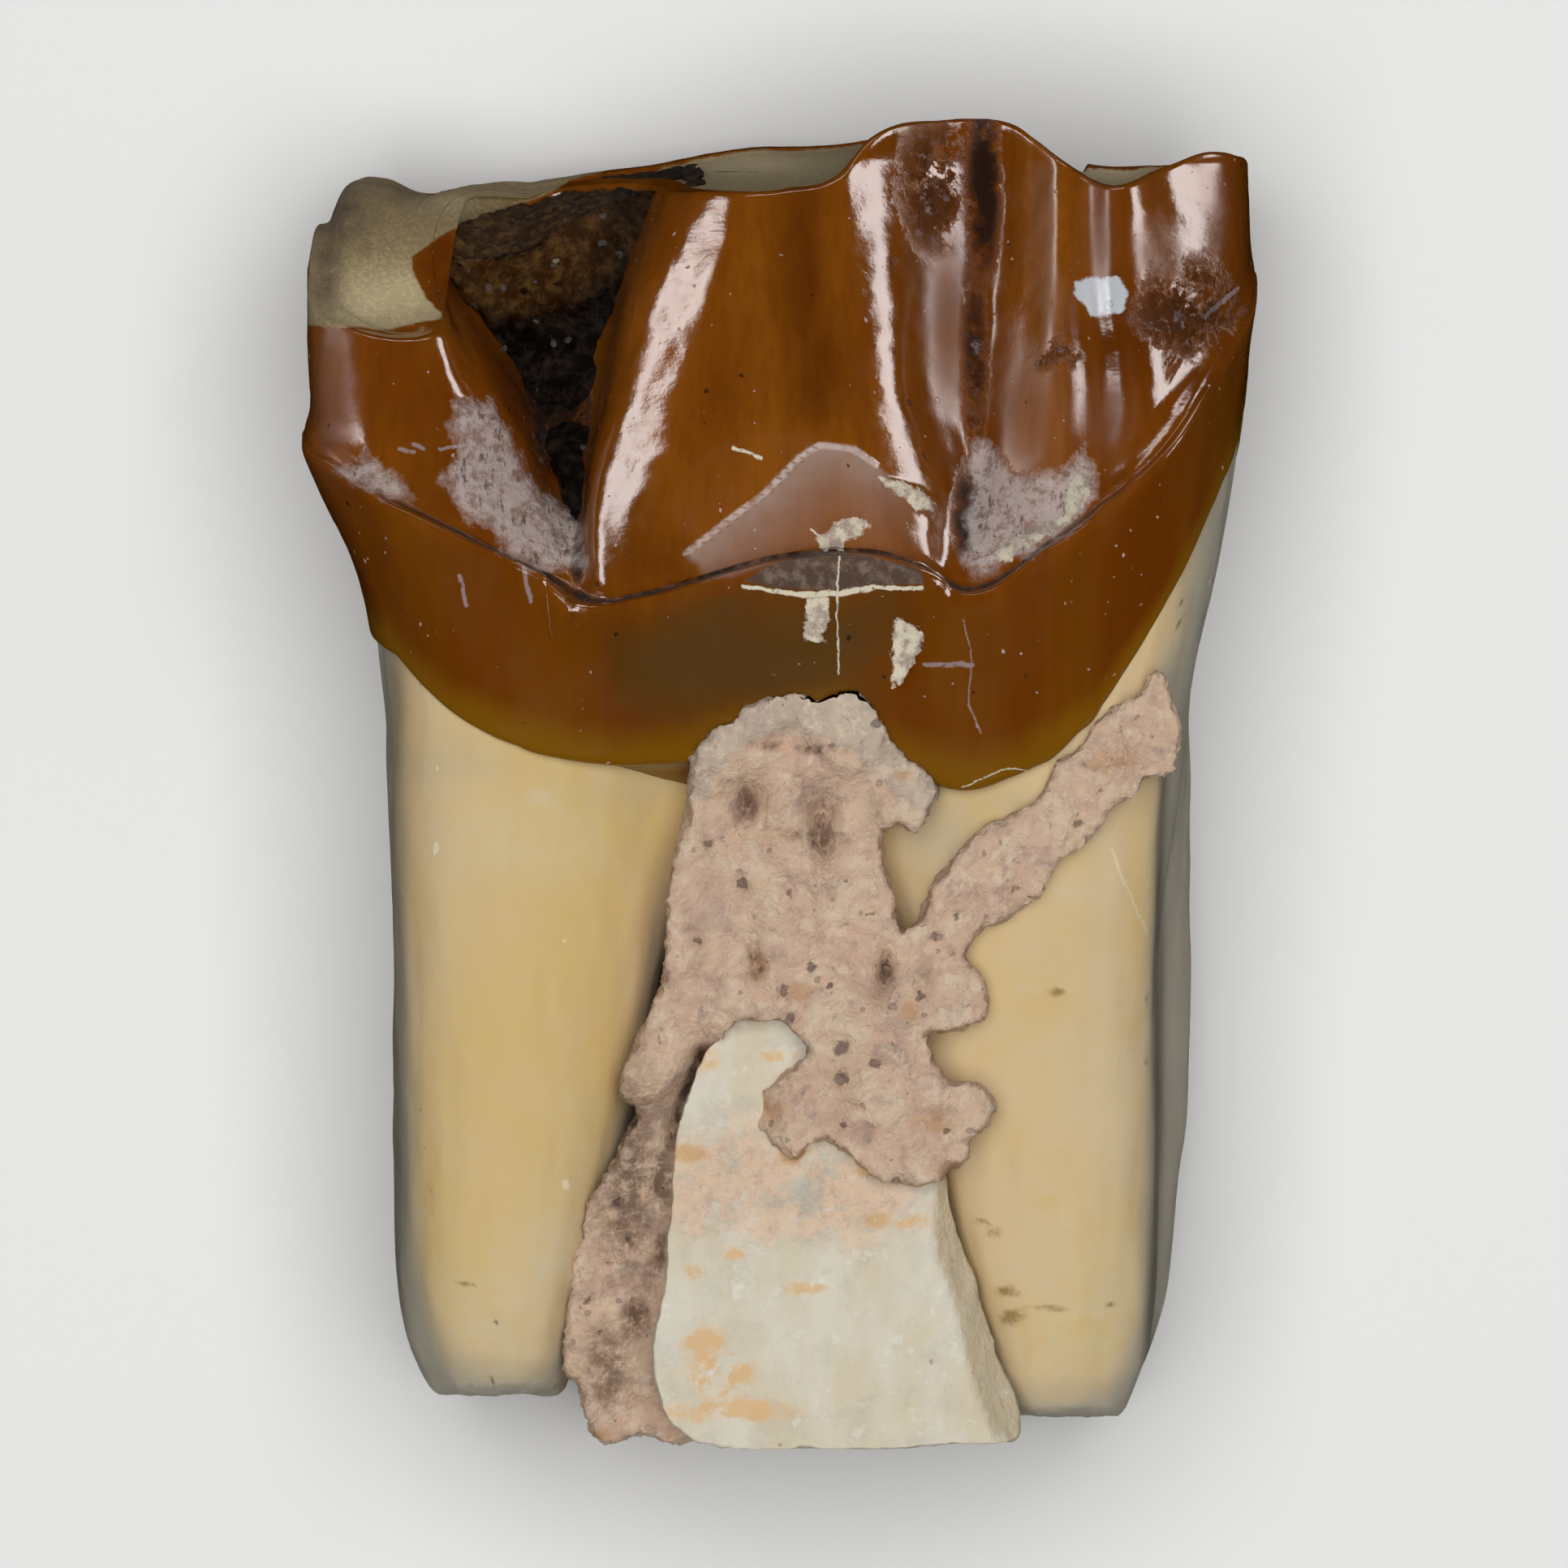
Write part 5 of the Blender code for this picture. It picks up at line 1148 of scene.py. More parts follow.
def root_material(colours):
    """Waxy cream root with a few stains, and painted shade towards the back, under the crown, in its crease
    and along its edge.
    """
    material, s, shader = new_material("root")
    place = s.millimetres()
    upright = s.millimetres((1.0, 0.08, 1.0))
    cloud = s.blotches(place, 0.16, 0.5, 0.2)
    colour = s.blend(cloud, colours.root, colours.root_ochre)
    streak = s.cloud(upright, (1.1, 5.0, 0.6), 0.35, 0.7)
    colour = s.over(colour, colours.root_pale, streak, 0.25)
    yellow = s.times(s.measure("yellow"), 0.6)
    colour = s.blend(yellow, colour, colours.root_ochre)
    pale = s.times(s.measure("pale"), s.cloud(place, (2.0, 5.0, 0.65), 0.35, 0.6, 0.2, 0.8))
    colour = s.blend(pale, colour, colours.root_pale)
    # Grey dentine at the fore side, and painted shade on the back, the sides and under the crown
    grey = s.plus(s.measure("grey"), s.math("MULTIPLY_ADD", s.noise(place, 0.8, 4.0, 0.6), 0.3, -0.15))
    colour = s.blend(s.between(grey, 0.0, 1.0), colour, colours.root_grey_and_shade)
    ragged = s.math("MULTIPLY_ADD", s.noise(place, 2.5, 6.0, 0.7), 1.4, -0.3)
    stain = s.between(s.times(s.measure("stain"), ragged), 0.08, 0.45)
    colour = s.over(colour, colours.root_stain, stain, 0.8)
    dots = s.specks(place, 1.2, 0.14, 0.12, 5.0)
    colour = s.over(colour, colours.root_stain, dots, 0.4)
    chalk = s.specks(place, 1.0, 0.12, 0.16, 31.0)
    colour = s.over(colour, CHALK, chalk, 0.5)
    cracks = s.times(lines_mask(s, place, ROOT_LINES), s.measure("front"))
    colour = s.over(colour, ROOT_CRACK, cracks, 0.4)
    # Painted shade in the fore root's crease and along the hind root's edge
    colour = s.over(colour, CREASE_SHADE, s.measure("crease_shade"), 0.75)
    ends = s.between(s.measure("broken"), 0.0, 1.0)
    colour = s.over(colour, colours.root_grey_and_shade, ends, 0.3)
    rough = s.cloud(place, (0.9, 5.0, 0.6), 0.3, 0.7, 0.34, 0.5)
    rough = s.blend_value(ends, rough, 0.75)
    relief = s.plus(
        s.times(s.noise(place, 4.0, 5.0, 0.6), 0.012),
        s.times(s.noise(upright, 5.0, 3.0, 0.5), 0.006),
        s.times(ends, s.times(s.noise(place, 3.0, 6.0, 0.7), 0.15)),
    )
    finish_shader(s, shader, colour, rough, relief)
    shader.inputs["Subsurface Weight"].default_value = 0.25
    shader.inputs["Subsurface Radius"].default_value = (1.0, 0.7, 0.4)
    shader.inputs["Subsurface Scale"].default_value = 0.4 * MM
    return material


def sandstone_material(colours):
    """Pale pink sandstone with grey pores, brown hollows and a paler rim."""
    material, s, shader = new_material("sandstone")
    place = s.millimetres()
    cloud = s.blotches(place, 0.7, 0.5, 0.12)
    colour = s.blend(cloud, colours.sandstone, colours.sandstone_pink)
    mist = s.blotches(place, 1.4, 0.6, 0.08)
    colour = s.over(colour, colours.sandstone_mauve, mist, 0.65)
    rim = s.ragged(place, s.measure("rim"), 2.0, 0.6, 0.1)
    colour = s.over(colour, colours.sandstone_pale, rim, 0.6)
    cream = s.cloud(place, (2.0, 8.0, 0.78), 0.5, 0.6)
    colour = s.over(colour, colours.sandstone_cream, cream, 0.7)
    grains = s.cloud(place, (3.6, 8.0, 0.8), 0.52, 0.66)
    colour = s.over(colour, colours.sandstone_mauve, grains, 0.45)
    # Painted shade in the grain's low places and painted light on its raised ones
    deep = s.between(s.measure("grain"), -0.04, -0.18)
    colour = s.over(colour, colours.sandstone_mauve, deep, 0.45)
    high = s.between(s.measure("grain"), 0.03, 0.16)
    colour = s.over(colour, colours.sandstone_cream, high, 0.5)
    broken = s.cloud(place, (2.0, 7.0, 0.75), 0.34, 0.6)
    rust = s.between(s.times(s.measure("rust"), broken), 0.05, 0.6)
    colour = s.over(colour, colours.rust, rust, 0.6)
    # Painted shade in the hollows and crevices, and darker places
    shade = s.times(s.measure("shade"), s.cloud(place, (2.4, 7.0, 0.75), 0.3, 0.6, 0.25, 1.25))
    colour = s.blend(s.between(shade, 0.05, 0.85, 0.0, 0.9), colour, colours.sandstone_dirt_and_shade)
    dirt = s.cloud(place, (2.8, 7.0, 0.78), 0.57, 0.7)
    colour = s.over(colour, colours.sandstone_dirt_and_shade, dirt, 0.4)
    ragged = s.math("MULTIPLY_ADD", s.noise(place, 7.0, 5.0, 0.7), 1.2, -0.6)
    pores = s.between(s.plus(s.measure("pore"), ragged), 0.4, 0.8)
    small = s.specks(place, 2.8, 0.34, 0.26, 17.0)
    pores = s.most(pores, s.times(small, 0.6))
    colour = s.over(colour, ROCK_PORE, pores, 0.7)
    height = s.times(s.noise(place, 3.2, 8.0, 0.72), 0.2)
    height = s.math("SUBTRACT", height, s.times(pores, 0.07))
    finish_shader(s, shader, colour, 0.92, height)
    shader.inputs["Specular IOR Level"].default_value = 0.25
    return material


def bone_material(colours):
    """Whitish jaw bone with a pinkish film on its upper part and orange stains."""
    material, s, shader = new_material("bone")
    place = s.millimetres()
    upright = s.millimetres((1.2, 0.5, 1.0))
    cloud = s.blotches(upright, 0.6, 0.5, 0.16)
    colour = s.blend(cloud, colours.bone, colours.bone_pale)
    greyer = s.blotches(place, 1.1, 0.56, 0.1)
    colour = s.over(colour, colours.bone_grey, greyer, 0.35)
    crust = s.ragged(place, s.measure("crust"), 0.8, 2.6, 0.7)
    pink = s.cloud(place, (1.5, 7.0, 0.72), 0.38, 0.56)
    colour = s.blend(s.times(crust, s.times(pink, 0.85)), colour, colours.sandstone)
    mauve = s.cloud(place, (2.6, 7.0, 0.75), 0.5, 0.64)
    colour = s.blend(s.times(crust, s.times(mauve, 0.5)), colour, colours.sandstone_mauve)
    # Painted shade on the planed edge, which turns away
    colour = s.over(colour, colours.bone_edge_shade, s.measure("edge"), 0.7)
    broken = s.cloud(place, (1.5, 7.0, 0.72), 0.36, 0.62)
    stain = s.between(s.times(s.measure("stain"), broken), 0.04, 0.5)
    colour = s.over(colour, colours.bone_stain, stain, 0.85)
    veins = s.cloud(place, (3.0, 7.0, 0.75, 0.6), 0.56, 0.7)
    colour = s.over(colour, BONE_VEIN, veins, 0.18)
    white = s.cloud(place, (2.2, 6.0, 0.65), 0.56, 0.7)
    colour = s.over(colour, BONE_WHITE, white, 0.5)
    pores = s.specks(place, 2.0, 0.14, 0.16, 9.0)
    pores = s.most(pores, s.between(s.measure("pore"), 0.4, 0.8))
    colour = s.over(colour, BONE_PORE, pores, 0.55)
    height = s.plus(
        s.times(s.noise(place, 4.0, 6.0, 0.65), 0.05),
        s.times(s.noise(upright, 2.5, 4.0, 0.6), 0.05),
        s.times(crust, s.times(s.noise(place, 3.0, 7.0, 0.7), 0.16)),
    )
    finish_shader(s, shader, colour, 0.62, height)
    shader.inputs["Specular IOR Level"].default_value = 0.35
    shader.inputs["Subsurface Weight"].default_value = 0.1
    shader.inputs["Subsurface Scale"].default_value = 0.3 * MM
    return material


def sediment_material(colours):
    """Dark sediment, brown at the hind side and black towards the fold, partly painted shade, with blue-grey
    grains.
    """
    material, s, shader = new_material("sediment")
    place = s.millimetres()
    grains = s.cloud(place, (2.6, 7.0, 0.75), 0.42, 0.68)
    brown = s.blend(grains, colours.sediment, colours.sediment_pale)
    black = s.blend(grains, SEDIMENT_BLACK, SEDIMENT_DARK)
    # Black towards the fold, partly painted shade of the deep fold
    depth = s.plus(s.measure("depth"), s.times(s.noise(place, 0.9, 4.0, 0.6), 0.5))
    colour = s.blend(s.between(depth, 0.5, 1.1), brown, black)
    blue = s.specks(place, 2.6, 0.25, 0.3, 13.0)
    colour = s.over(colour, BLUE_GRAIN, blue, 0.5)
    pale = s.specks(place, 1.6, 0.14, 0.16, 29.0)
    colour = s.over(colour, PALE_GRAIN, pale, 0.7)
    holes = s.blotches(place, 1.3, 0.66, 0.04)
    colour = s.over(colour, SEDIMENT_BLACK, holes, 0.9)
    height = s.times(s.noise(place, 3.4, 8.0, 0.74), 0.3)
    finish_shader(s, shader, colour, s.between(grains, 0.0, 1.0, 0.7, 0.95), height)
    shader.inputs["Specular IOR Level"].default_value = 0.2
    return material


def floor_material(colours):
    """Plain pale studio paper."""
    material, s, shader = new_material("studio_floor")
    place = s.millimetres()
    tone = s.cloud(place, (0.02, 2.0, 0.5), 0.3, 0.7)
    colour = s.blend(s.times(tone, 0.15), colours.floor, FLOOR_SHADE)
    finish_shader(s, shader, colour, 0.8, s.noise(place, 2.0, 2.0, 0.5), 0.01)
    return material


# Sizes and colours a user may change


def colour_property(name, description, default):
    """A colour that a user may change."""
    return bpy.props.FloatVectorProperty(
        name=name, description=description, default=default, size=4, subtype="COLOR", min=0, max=1
    )


def length_property(name, description, default):
    """A length that a user may change, in metres."""
    return bpy.props.FloatProperty(
        name=name, description=description, default=default, unit="LENGTH", min=0, precision=5
    )


class FossilToothSizes(bpy.types.PropertyGroup):
    """Sizes of the tooth's finer shapes."""

    enamel_band: length_property("Enamel band", "Width of the enamel rim around the worn top", 0.00062)
    rim_rounding: length_property("Rim rounding", "Radius of the worn top's edge", 0.00012)
    dentine_sunk: length_property("Dentine sunk", "How far the dentine lies below its enamel rim", 0.00012)
    enamel_thickness: length_property("Enamel edge", "Step from the root up to the enamel", 0.00013)
    grain: length_property("Voxel size", "Mesh size of the sandstone, the bone and the sediment", 0.00013)
    columns: bpy.props.IntProperty(
        name="Columns", description="Points from end to end on each side of the crown", default=250, min=50
    )


class FossilToothColours(bpy.types.PropertyGroup):
    """Colours of the enamel, the roots, the bone, the rock and the floor."""

    enamel: colour_property("Enamel", "Main brown of the enamel", (0.225, 0.068, 0.004, 1))
    enamel_warm: colour_property("Warm enamel", "Redder brown of the enamel", (0.17, 0.04, 0.002, 1))
    # Also the dark bands, partly painted shade along the groove and the fold
    enamel_dark: colour_property("Dark enamel", "Dark streaks in the enamel", (0.07, 0.015, 0.001, 1))
    enamel_low: colour_property("Low enamel", "Enamel below the ledge", (0.135, 0.042, 0.002, 1))
    enamel_red: colour_property("Red enamel", "Redder parts below the ledge", (0.11, 0.026, 0.001, 1))
    enamel_olive: colour_property("Olive enamel", "Darkest part below the ledge", (0.07, 0.036, 0.008, 1))
    margin: colour_property("Margin", "Yellowish lower edge of the enamel", (0.18, 0.08, 0.003, 1))
    mottle: colour_property("Mottle", "Blue-grey film in the grooves", (0.34, 0.27, 0.27, 1))
    # A painted sheen on the chip's face; the cream's stain also uses this colour
    facet_sheen: colour_property("Facet", "Chip on the middle lobe", (0.34, 0.26, 0.22, 1))
    recess: colour_property("Recess", "Dark hollow over the ledge", (0.06, 0.04, 0.03, 1))
    # Also the colour of the painted highlights on the hind lobe's band, the ledge's lip and the chip's rim
    crust: colour_property("Crust", "Pinkish-white mineral crust", (0.56, 0.46, 0.42, 1))
    calcite: colour_property("Calcite", "Cream mineral in cracks and chips", (0.64, 0.58, 0.44, 1))
    chip: colour_property("Chip", "Bluish white chip on the fore lobe", (0.5, 0.53, 0.56, 1))
    dentine: colour_property("Dentine", "Pale worn dentine", (0.6, 0.49, 0.27, 1))
    dentine_dark: colour_property("Dark dentine", "Grey-green worn dentine", (0.26, 0.185, 0.07, 1))
    dentine_brown: colour_property(
        "Brown dentine", "Brown grains of the worn dentine", (0.07, 0.042, 0.022, 1)
    )
    root: colour_property("Root", "Cream of the roots", (0.61, 0.46, 0.275, 1))
    root_ochre: colour_property("Root ochre", "Yellower patches of the roots", (0.58, 0.41, 0.15, 1))
    root_pale: colour_property("Pale root", "Paler parts of the roots", (0.58, 0.5, 0.33, 1))
    # Grey dentine, and the painted shade on the roots' back and sides and under the crown
    root_grey_and_shade: colour_property("Grey root", "Grey dentine beside and behind the roots", (0.37, 0.34, 0.27, 1))
    root_stain: colour_property("Root stain", "Brown stains on the roots", (0.24, 0.14, 0.035, 1))
    sandstone: colour_property("Sandstone", "Main colour of the sandstone", (0.84, 0.6, 0.42, 1))
    sandstone_pink: colour_property("Pink sandstone", "Pinker patches", (0.8, 0.54, 0.39, 1))
    sandstone_cream: colour_property("Cream sandstone", "Lighter grains", (0.92, 0.74, 0.55, 1))
    sandstone_mauve: colour_property("Mauve sandstone", "Greyer patches", (0.5, 0.36, 0.3, 1))
    sandstone_pale: colour_property("Pale sandstone", "Pale rim", (0.6, 0.53, 0.44, 1))
    # Dirt, and the painted shade in the sandstone's hollows and crevices
    sandstone_dirt_and_shade: colour_property("Dark sandstone", "Dirt in the sandstone", (0.17, 0.1, 0.065, 1))
    rust: colour_property("Rust", "Orange stains in the sandstone", (0.62, 0.33, 0.15, 1))
    bone: colour_property("Bone", "Main colour of the jaw bone", (0.6, 0.53, 0.39, 1))
    bone_pale: colour_property("Pale bone", "Whiter patches of the bone", (0.64, 0.6, 0.5, 1))
    bone_grey: colour_property("Grey bone", "Greyer patches of the bone", (0.45, 0.42, 0.36, 1))
    # Painted shade of the planed edge, which turns away
    bone_edge_shade: colour_property("Bone edge", "Planed edge of the bone", (0.54, 0.44, 0.28, 1))
    bone_stain: colour_property("Bone stain", "Orange stains of the bone", (0.66, 0.42, 0.2, 1))
    sediment: colour_property("Sediment", "Brown sediment", (0.05, 0.018, 0.003, 1))
    sediment_pale: colour_property("Pale sediment", "Lighter grains of the sediment", (0.17, 0.085, 0.025, 1))
    floor: colour_property("Floor", "Studio floor", (0.8, 0.8, 0.79, 1))


def sizes_and_colours():
    """The scene's sizes and colours."""
    scene = bpy.context.scene
    return scene.fossil_tooth_sizes, scene.fossil_tooth_colours


# Pieces


def crown_lines(wall):
    """Height of the margin and the ledge, and strength of the ledge and the crevice, by column."""
    columns = (wall.by_column([CROWN_LINES[name][i] for name in CROWN]) for i in range(4))
    margin, ledge, strength, crevice = columns
    return margin, ledge, np.clip(strength, 0, 1), np.clip(crevice, 0, 1)


def crown_rings(sizes):
    """The crown's rings from its hidden underside up the wall and over the worn top.

    Also its wall, the worn top's outline, and the number of the first ring on the worn top.
    """
    count, middle_height, underside, edge_step, soft_end = sizes.columns, 10.0, -1.2, 0.14, 0.9
    hind, fore = (list(CROWN).index(name) for name in ("hind_side", "fore_side"))
    outer = even_places(CROWN_LEVELS, CROWN, middle_height, hind, fore + len(CROWN), count)
    tongue = even_places(CROWN_LEVELS, CROWN, middle_height, fore, hind, count)
    wall = Wall(CROWN_LEVELS, CROWN, np.concatenate([outer, tongue]))
    margin, ledge, strength, crevice = crown_lines(wall)
    inner = wall.ring(margin + 0.06, -0.5)
    deep = wall.ring(underside, 0.0, 0.4)
    rings = [deep + (inner - deep) * share for share in np.linspace(0.0, 1.0, 8)]
    thick = sizes.enamel_thickness / MM
    for up, share in ((0.01, 1.6), (0.0, 1.0), (0.015, 0.5), (0.05, 0.2), (0.1, 0.05)):
        rings.append(wall.ring(margin + up, -thick * share))
    start = margin + edge_step
    for share in np.concatenate([np.linspace(0, 0.9, 34), np.linspace(0.915, 0.995, 10)]):
        height = start + (ledge - start) * share
        whole = (height - margin) / (ledge - margin)
        rings.append(wall.ring(height, smooth_through(*zip(*BELOW_LEDGE), whole) * strength))
    for above in (0.01, 0.03, 0.05, 0.08, 0.12, 0.17, 0.23, 0.3, 0.38, 0.48, 0.58, 0.68, 0.78, soft_end):
        sharp, soft = (smooth_through(*zip(*line), above) for line in (ABOVE_CREVICE, ABOVE_SOFT))
        rings.append(wall.ring(ledge + above, (crevice * sharp + (1 - crevice) * soft) * strength))
    # The rim's height and its place on the wall depend on each other, so both are found by turns
    rounding = sizes.rim_rounding / MM
    rim = np.full(2 * count, 13.5)
    for _ in range(12):
        point = wall.ring(rim, -rounding)
        rim = 0.4 * rim + 0.6 * top_height(point[:, 0], point[:, 2])
    start = ledge + soft_end
    for share in np.linspace(0.012, 1, 74):
        rings.append(wall.ring(start + (rim - rounding - start) * share))
    for angle in (25, 45, 65, 85):
        across, up = 1 - math.cos(math.radians(angle)), 1 - math.sin(math.radians(angle))
        rings.append(wall.ring(rim - rounding * up, -rounding * across))
    edge = wall.ring(rim, -rounding)
    shares = np.arange(count + 1) / count
    spine = smooth_through([s[0] for s in SPINE], [s[1:] for s in SPINE], shares)
    middle = np.concatenate([spine, spine[-2:0:-1]])
    outline = wall.ring(rim)[:, (0, 2)]
    inward = np.concatenate([np.linspace(0.02, 0.3, 16), np.linspace(0.33, 1.0, 24)])
    for share in inward:
        across = edge[:, (0, 2)] + (middle - edge[:, (0, 2)]) * share
        rings.append(np.stack([across[:, 0], rim, across[:, 1]], axis=1))
    return np.array(rings), wall, outline, len(rings) - len(inward)


def shape_worn_top(points, outline, sizes):
    """Sets the height of the worn top's points, and returns how far each is into the dentine."""
    flat = points[:, (0, 2)]
    x, z = flat[:, 0], flat[:, 1]
    outer, tongue, share = rims_and_share(x, z)
    hollow = hollow_depth(x, z, outer * (1 - share) + tongue * share)
    inward = distance_to_line(flat, outline)
    dentine = np.minimum(inward - sizes.enamel_band / MM, 0.55 - hollow * 0.8)
    sunk = smooth_step(dentine, -0.06, 0.08) * sizes.dentine_sunk / MM + smooth_step(dentine, 0.0, 2.0) * 0.25
    points[:, 1] = top_height(x, z) - sunk
    return dentine


class MESH_OT_fossil_crown(bpy.types.Operator):
    """Model the enamel crown with its worn top"""

    bl_idname = "mesh.fossil_crown"
    bl_label = "Crown"
    bl_options = {"REGISTER", "UNDO"}

    def execute(self, context):
        sizes, colours = sizes_and_colours()
        rings, wall, outline, top_start = crown_rings(sizes)
        shape = rings.shape[:2]
        dentine = np.full(shape, -2.0)
        top = rings[top_start:].reshape(-1, 3)
        dentine[top_start:] = shape_worn_top(top, outline, sizes).reshape(-1, shape[1])
        rings[top_start:] = top.reshape(-1, shape[1], 3)
        margin, ledge, strength, crevice = crown_lines(wall)
        piece, ring, column = sphere_of_rings("crown", rings, rings[0].mean(axis=0), rings[-1].mean(axis=0))
        height = rings[:, :, 1]
        measures = {
            "dentine": dentine, "above_margin": height - margin, "above_ledge": height - ledge,
            "crevice": np.broadcast_to(crevice * strength, shape),
        }
        row = np.clip(ring, 0, len(rings) - 1)
        values = {name: grid[row, column] for name, grid in measures.items()}
        points = table_points(piece)
        self.chip(points, values["above_ledge"])
        areas = {
            "crust": CRUST_AND_HIGHLIGHT_AREAS, "cream": CREAM_AREAS, "chip": (CHIP_AREA,), "facet_sheen": (FACET_AREA,),
            "recess": (RECESS_AREA,), "olive": (OLIVE_AREA,),
        }
        for name, outlines in areas.items():
            values[name] = areas_into(points, outlines)
        # Distance to the chip's upper rim, for its painted highlight and painted sheen
        rim = np.array([on_face(*p) for p in FACET_HIGHLIGHT_RIM])
        to_rim = distance_to_line(points[:, :2], rim, closed=False)
        values["facet_highlight_rim"] = np.where(points[:, 2] > 9, to_rim, 9.0)
        # The chip's painted sheen fades away from its upper rim
        values["facet_sheen"] = smooth_step(values["facet_sheen"], -0.02, 0.08) * np.exp(-values["facet_highlight_rim"] / 0.9)
        # Dirt and dark bands carry painted shade in the groove and the fold
        fields = {"pitted": PITTED, "dark_band_and_shade": DARK_BANDS_AND_SHADE, "mottle": MOTTLED, "dirt": DIRT_AND_SHADE, "dull": DULL}
        values.update({name: spots(points, marks) for name, marks in fields.items()})
        # Marks of the worn top reach its whole depth
        for name, marks in {"pale": PALE_DENTINE, "murky": MURKY}.items():
            values[name] = spots(points, marks, -1.0)
        hind = (points[:, 0] < -3) & (values["above_ledge"] > 2)
        hind = hind * smooth_step(points[:, 2], 2.2, 3.2)
        lobe = np.clip(areas_into(points, (HIND_DENTINE,), 1.5), -1, 1)
        values["dentine"] += (lobe - values["dentine"]) * hind
        lift = lumpiness(points, 1.9) * 0.02 + lumpiness(points, 0.55) * 0.006
        rough = np.maximum(smooth_step(values["crust"], -0.05, 0.15), values["mottle"])
        lift += rough * lumpiness(points, 0.22, 4, 0.6) * 0.025
        lift += smooth_step(values["cream"], -0.04, 0.1) * (0.09 + lumpiness(points, 0.3) * 0.06)
        set_points(piece, points + triples(piece, "normal") * lift[:, None])
        set_measures(piece, values)
        # Without the upper pole the two sides meet along the middle line of the worn top
        delete_point(piece, np.argmax(ring))
        finish_piece(piece, "tooth", enamel_material(colours))
        return {"FINISHED"}

    @staticmethod
    def chip(points, above_ledge):
        """Planes off the chip on the middle lobe."""
        (low, low_z), (high, high_z) = CHIP_PLANE
        plane = low_z + (high_z - low_z) * (points[:, 1] - low) / (high - low)
        chipped = (points[:, 0] > CHIP_SPAN[0]) & (points[:, 0] < CHIP_SPAN[1]) & (points[:, 1] < high + 0.4)
        chipped &= (above_ledge > 0.02) & (points[:, 2] > plane)
        points[chipped, 2] = plane[chipped]


def root_wall(features, end, columns):
    """A root's wall, whose upper levels follow the crown's wall."""
    shared = slice(1, 5)
    low = [end * (1 - share) for share in ROOT_LEVELS]
    joined = {}
    for feature, (xs, zs) in features.items():
        upper = [v[shared] for v in CROWN[feature]] if feature in CROWN else ((xs[-1],) * 4, (zs[-1],) * 4)
        joined[feature] = (xs + upper[0], zs + upper[1])
    levels = low + list(CROWN_LEVELS[shared])
    places = even_places(levels, joined, end * 0.5, 0, len(features), columns)
    return Wall(levels, joined, places)


class MESH_OT_fossil_roots(bpy.types.Operator):
    """Model the two long roots"""

    bl_idname = "mesh.fossil_roots"
    bl_label = "Roots"
    bl_options = {"REGISTER", "UNDO"}

    def execute(self, context):
        sizes, colours = sizes_and_colours()
        material = root_material(colours)
        self.one_root("hind_root", HIND_ROOT, HIND_ROOT_END, sizes.columns, material)
        self.one_root("fore_root", FORE_ROOT, FORE_ROOT_END, sizes.columns, material)
        return {"FINISHED"}

    @staticmethod
    def one_root(name, features, end, columns, material):
        """Models one root, from its end up to a hidden ring inside the crown."""
        inner_margin, root_top, below_margin = 1.6, 5.2, 0.3
        wall = root_wall(features, end, columns)
        margin = wall.by_column([CROWN_LINES[f][0] if f in CROWN else inner_margin for f in features])
        tip = wall.ring(end, 0.0, 0.84)
        centre = tip.mean(axis=0)
        rings = [centre + (tip - centre) * share for share in np.linspace(0.05, 0.96, 14)]
        rounded = ((0.0, 0.84), (0.004, 0.88), (0.01, 0.92), (0.02, 0.95), (0.032, 0.972), (0.048, 0.988))
        length = margin - below_margin - end
        for share, shrink in rounded:
            rings.append(wall.ring(end + length * share, 0.0, shrink))
        for share in np.linspace(0.06, 1.0, 120):
            rings.append(wall.ring(end + length * share, -0.1 * share**6))
        for up, reach in ((0.0, -0.12), (0.4, -0.2), (0.8, -0.6)):
            rings.append(wall.ring(margin + up, reach))
        inside = wall.ring(root_top, 0.0, 0.4)
        rings.extend([rings[-1] + (inside - rings[-1]) * share for share in (0.3, 0.65, 1.0)])
        piece, _, _ = sphere_of_rings(name, rings, centre, inside.mean(axis=0))
        points = table_points(piece)
        stretched = points * (1, 0.35, 1)
        broken = smooth_step(end + 0.45 - points[:, 1], 0.0, 0.4)
        lift = lumpiness(stretched, 2.6) * 0.07 + lumpiness(stretched, 0.8) * 0.015
        lift += broken * lumpiness(points, 0.8, 4, 0.6) * 0.04
        set_points(piece, points + triples(piece, "normal") * lift[:, None])
        # Painted shade on the root's back and sides, grey spots that are partly painted shade, and greyer
        # broken ends
        grey = smooth_step(11.0 - points[:, 2], 0.0, 1.7) * 0.9
        grey = np.maximum(grey, spots(points, ROOT_GREY_AND_SHADE))
        grey = np.maximum(grey, smooth_step(end + 0.9 - points[:, 1], 0.0, 1.2) * 0.3)
        seen = in_view(points)
        # Painted shade along the crease beside the fore root's back lobe and along the hind root's edge
        beside = np.abs(seen[:, 0] - smooth_through(*zip(*ROOT_CREASE), seen[:, 1]))
        crease_shade = np.exp(-((beside / CREASE_HALF) ** 2)) * (seen[:, 1] > CREASE_START) * (points[:, 0] > 0)
        at, half, strength = DARK_EDGE_SHADE
        edge = np.exp(-(((seen[:, 0] - at) / half) ** 2)) * strength * (points[:, 2] > 6)
        measures = {
            "grey": grey, "broken": broken, "front": smooth_step(points[:, 2], 7.0, 8.0),
            "crease_shade": np.maximum(crease_shade, edge), "stain": spots(points, ROOT_STAINS),
            "yellow": spots(points, ROOT_YELLOW), "pale": spots(points, ROOT_PALE),
        }
        set_measures(piece, measures)
        finish_piece(piece, "tooth", material)


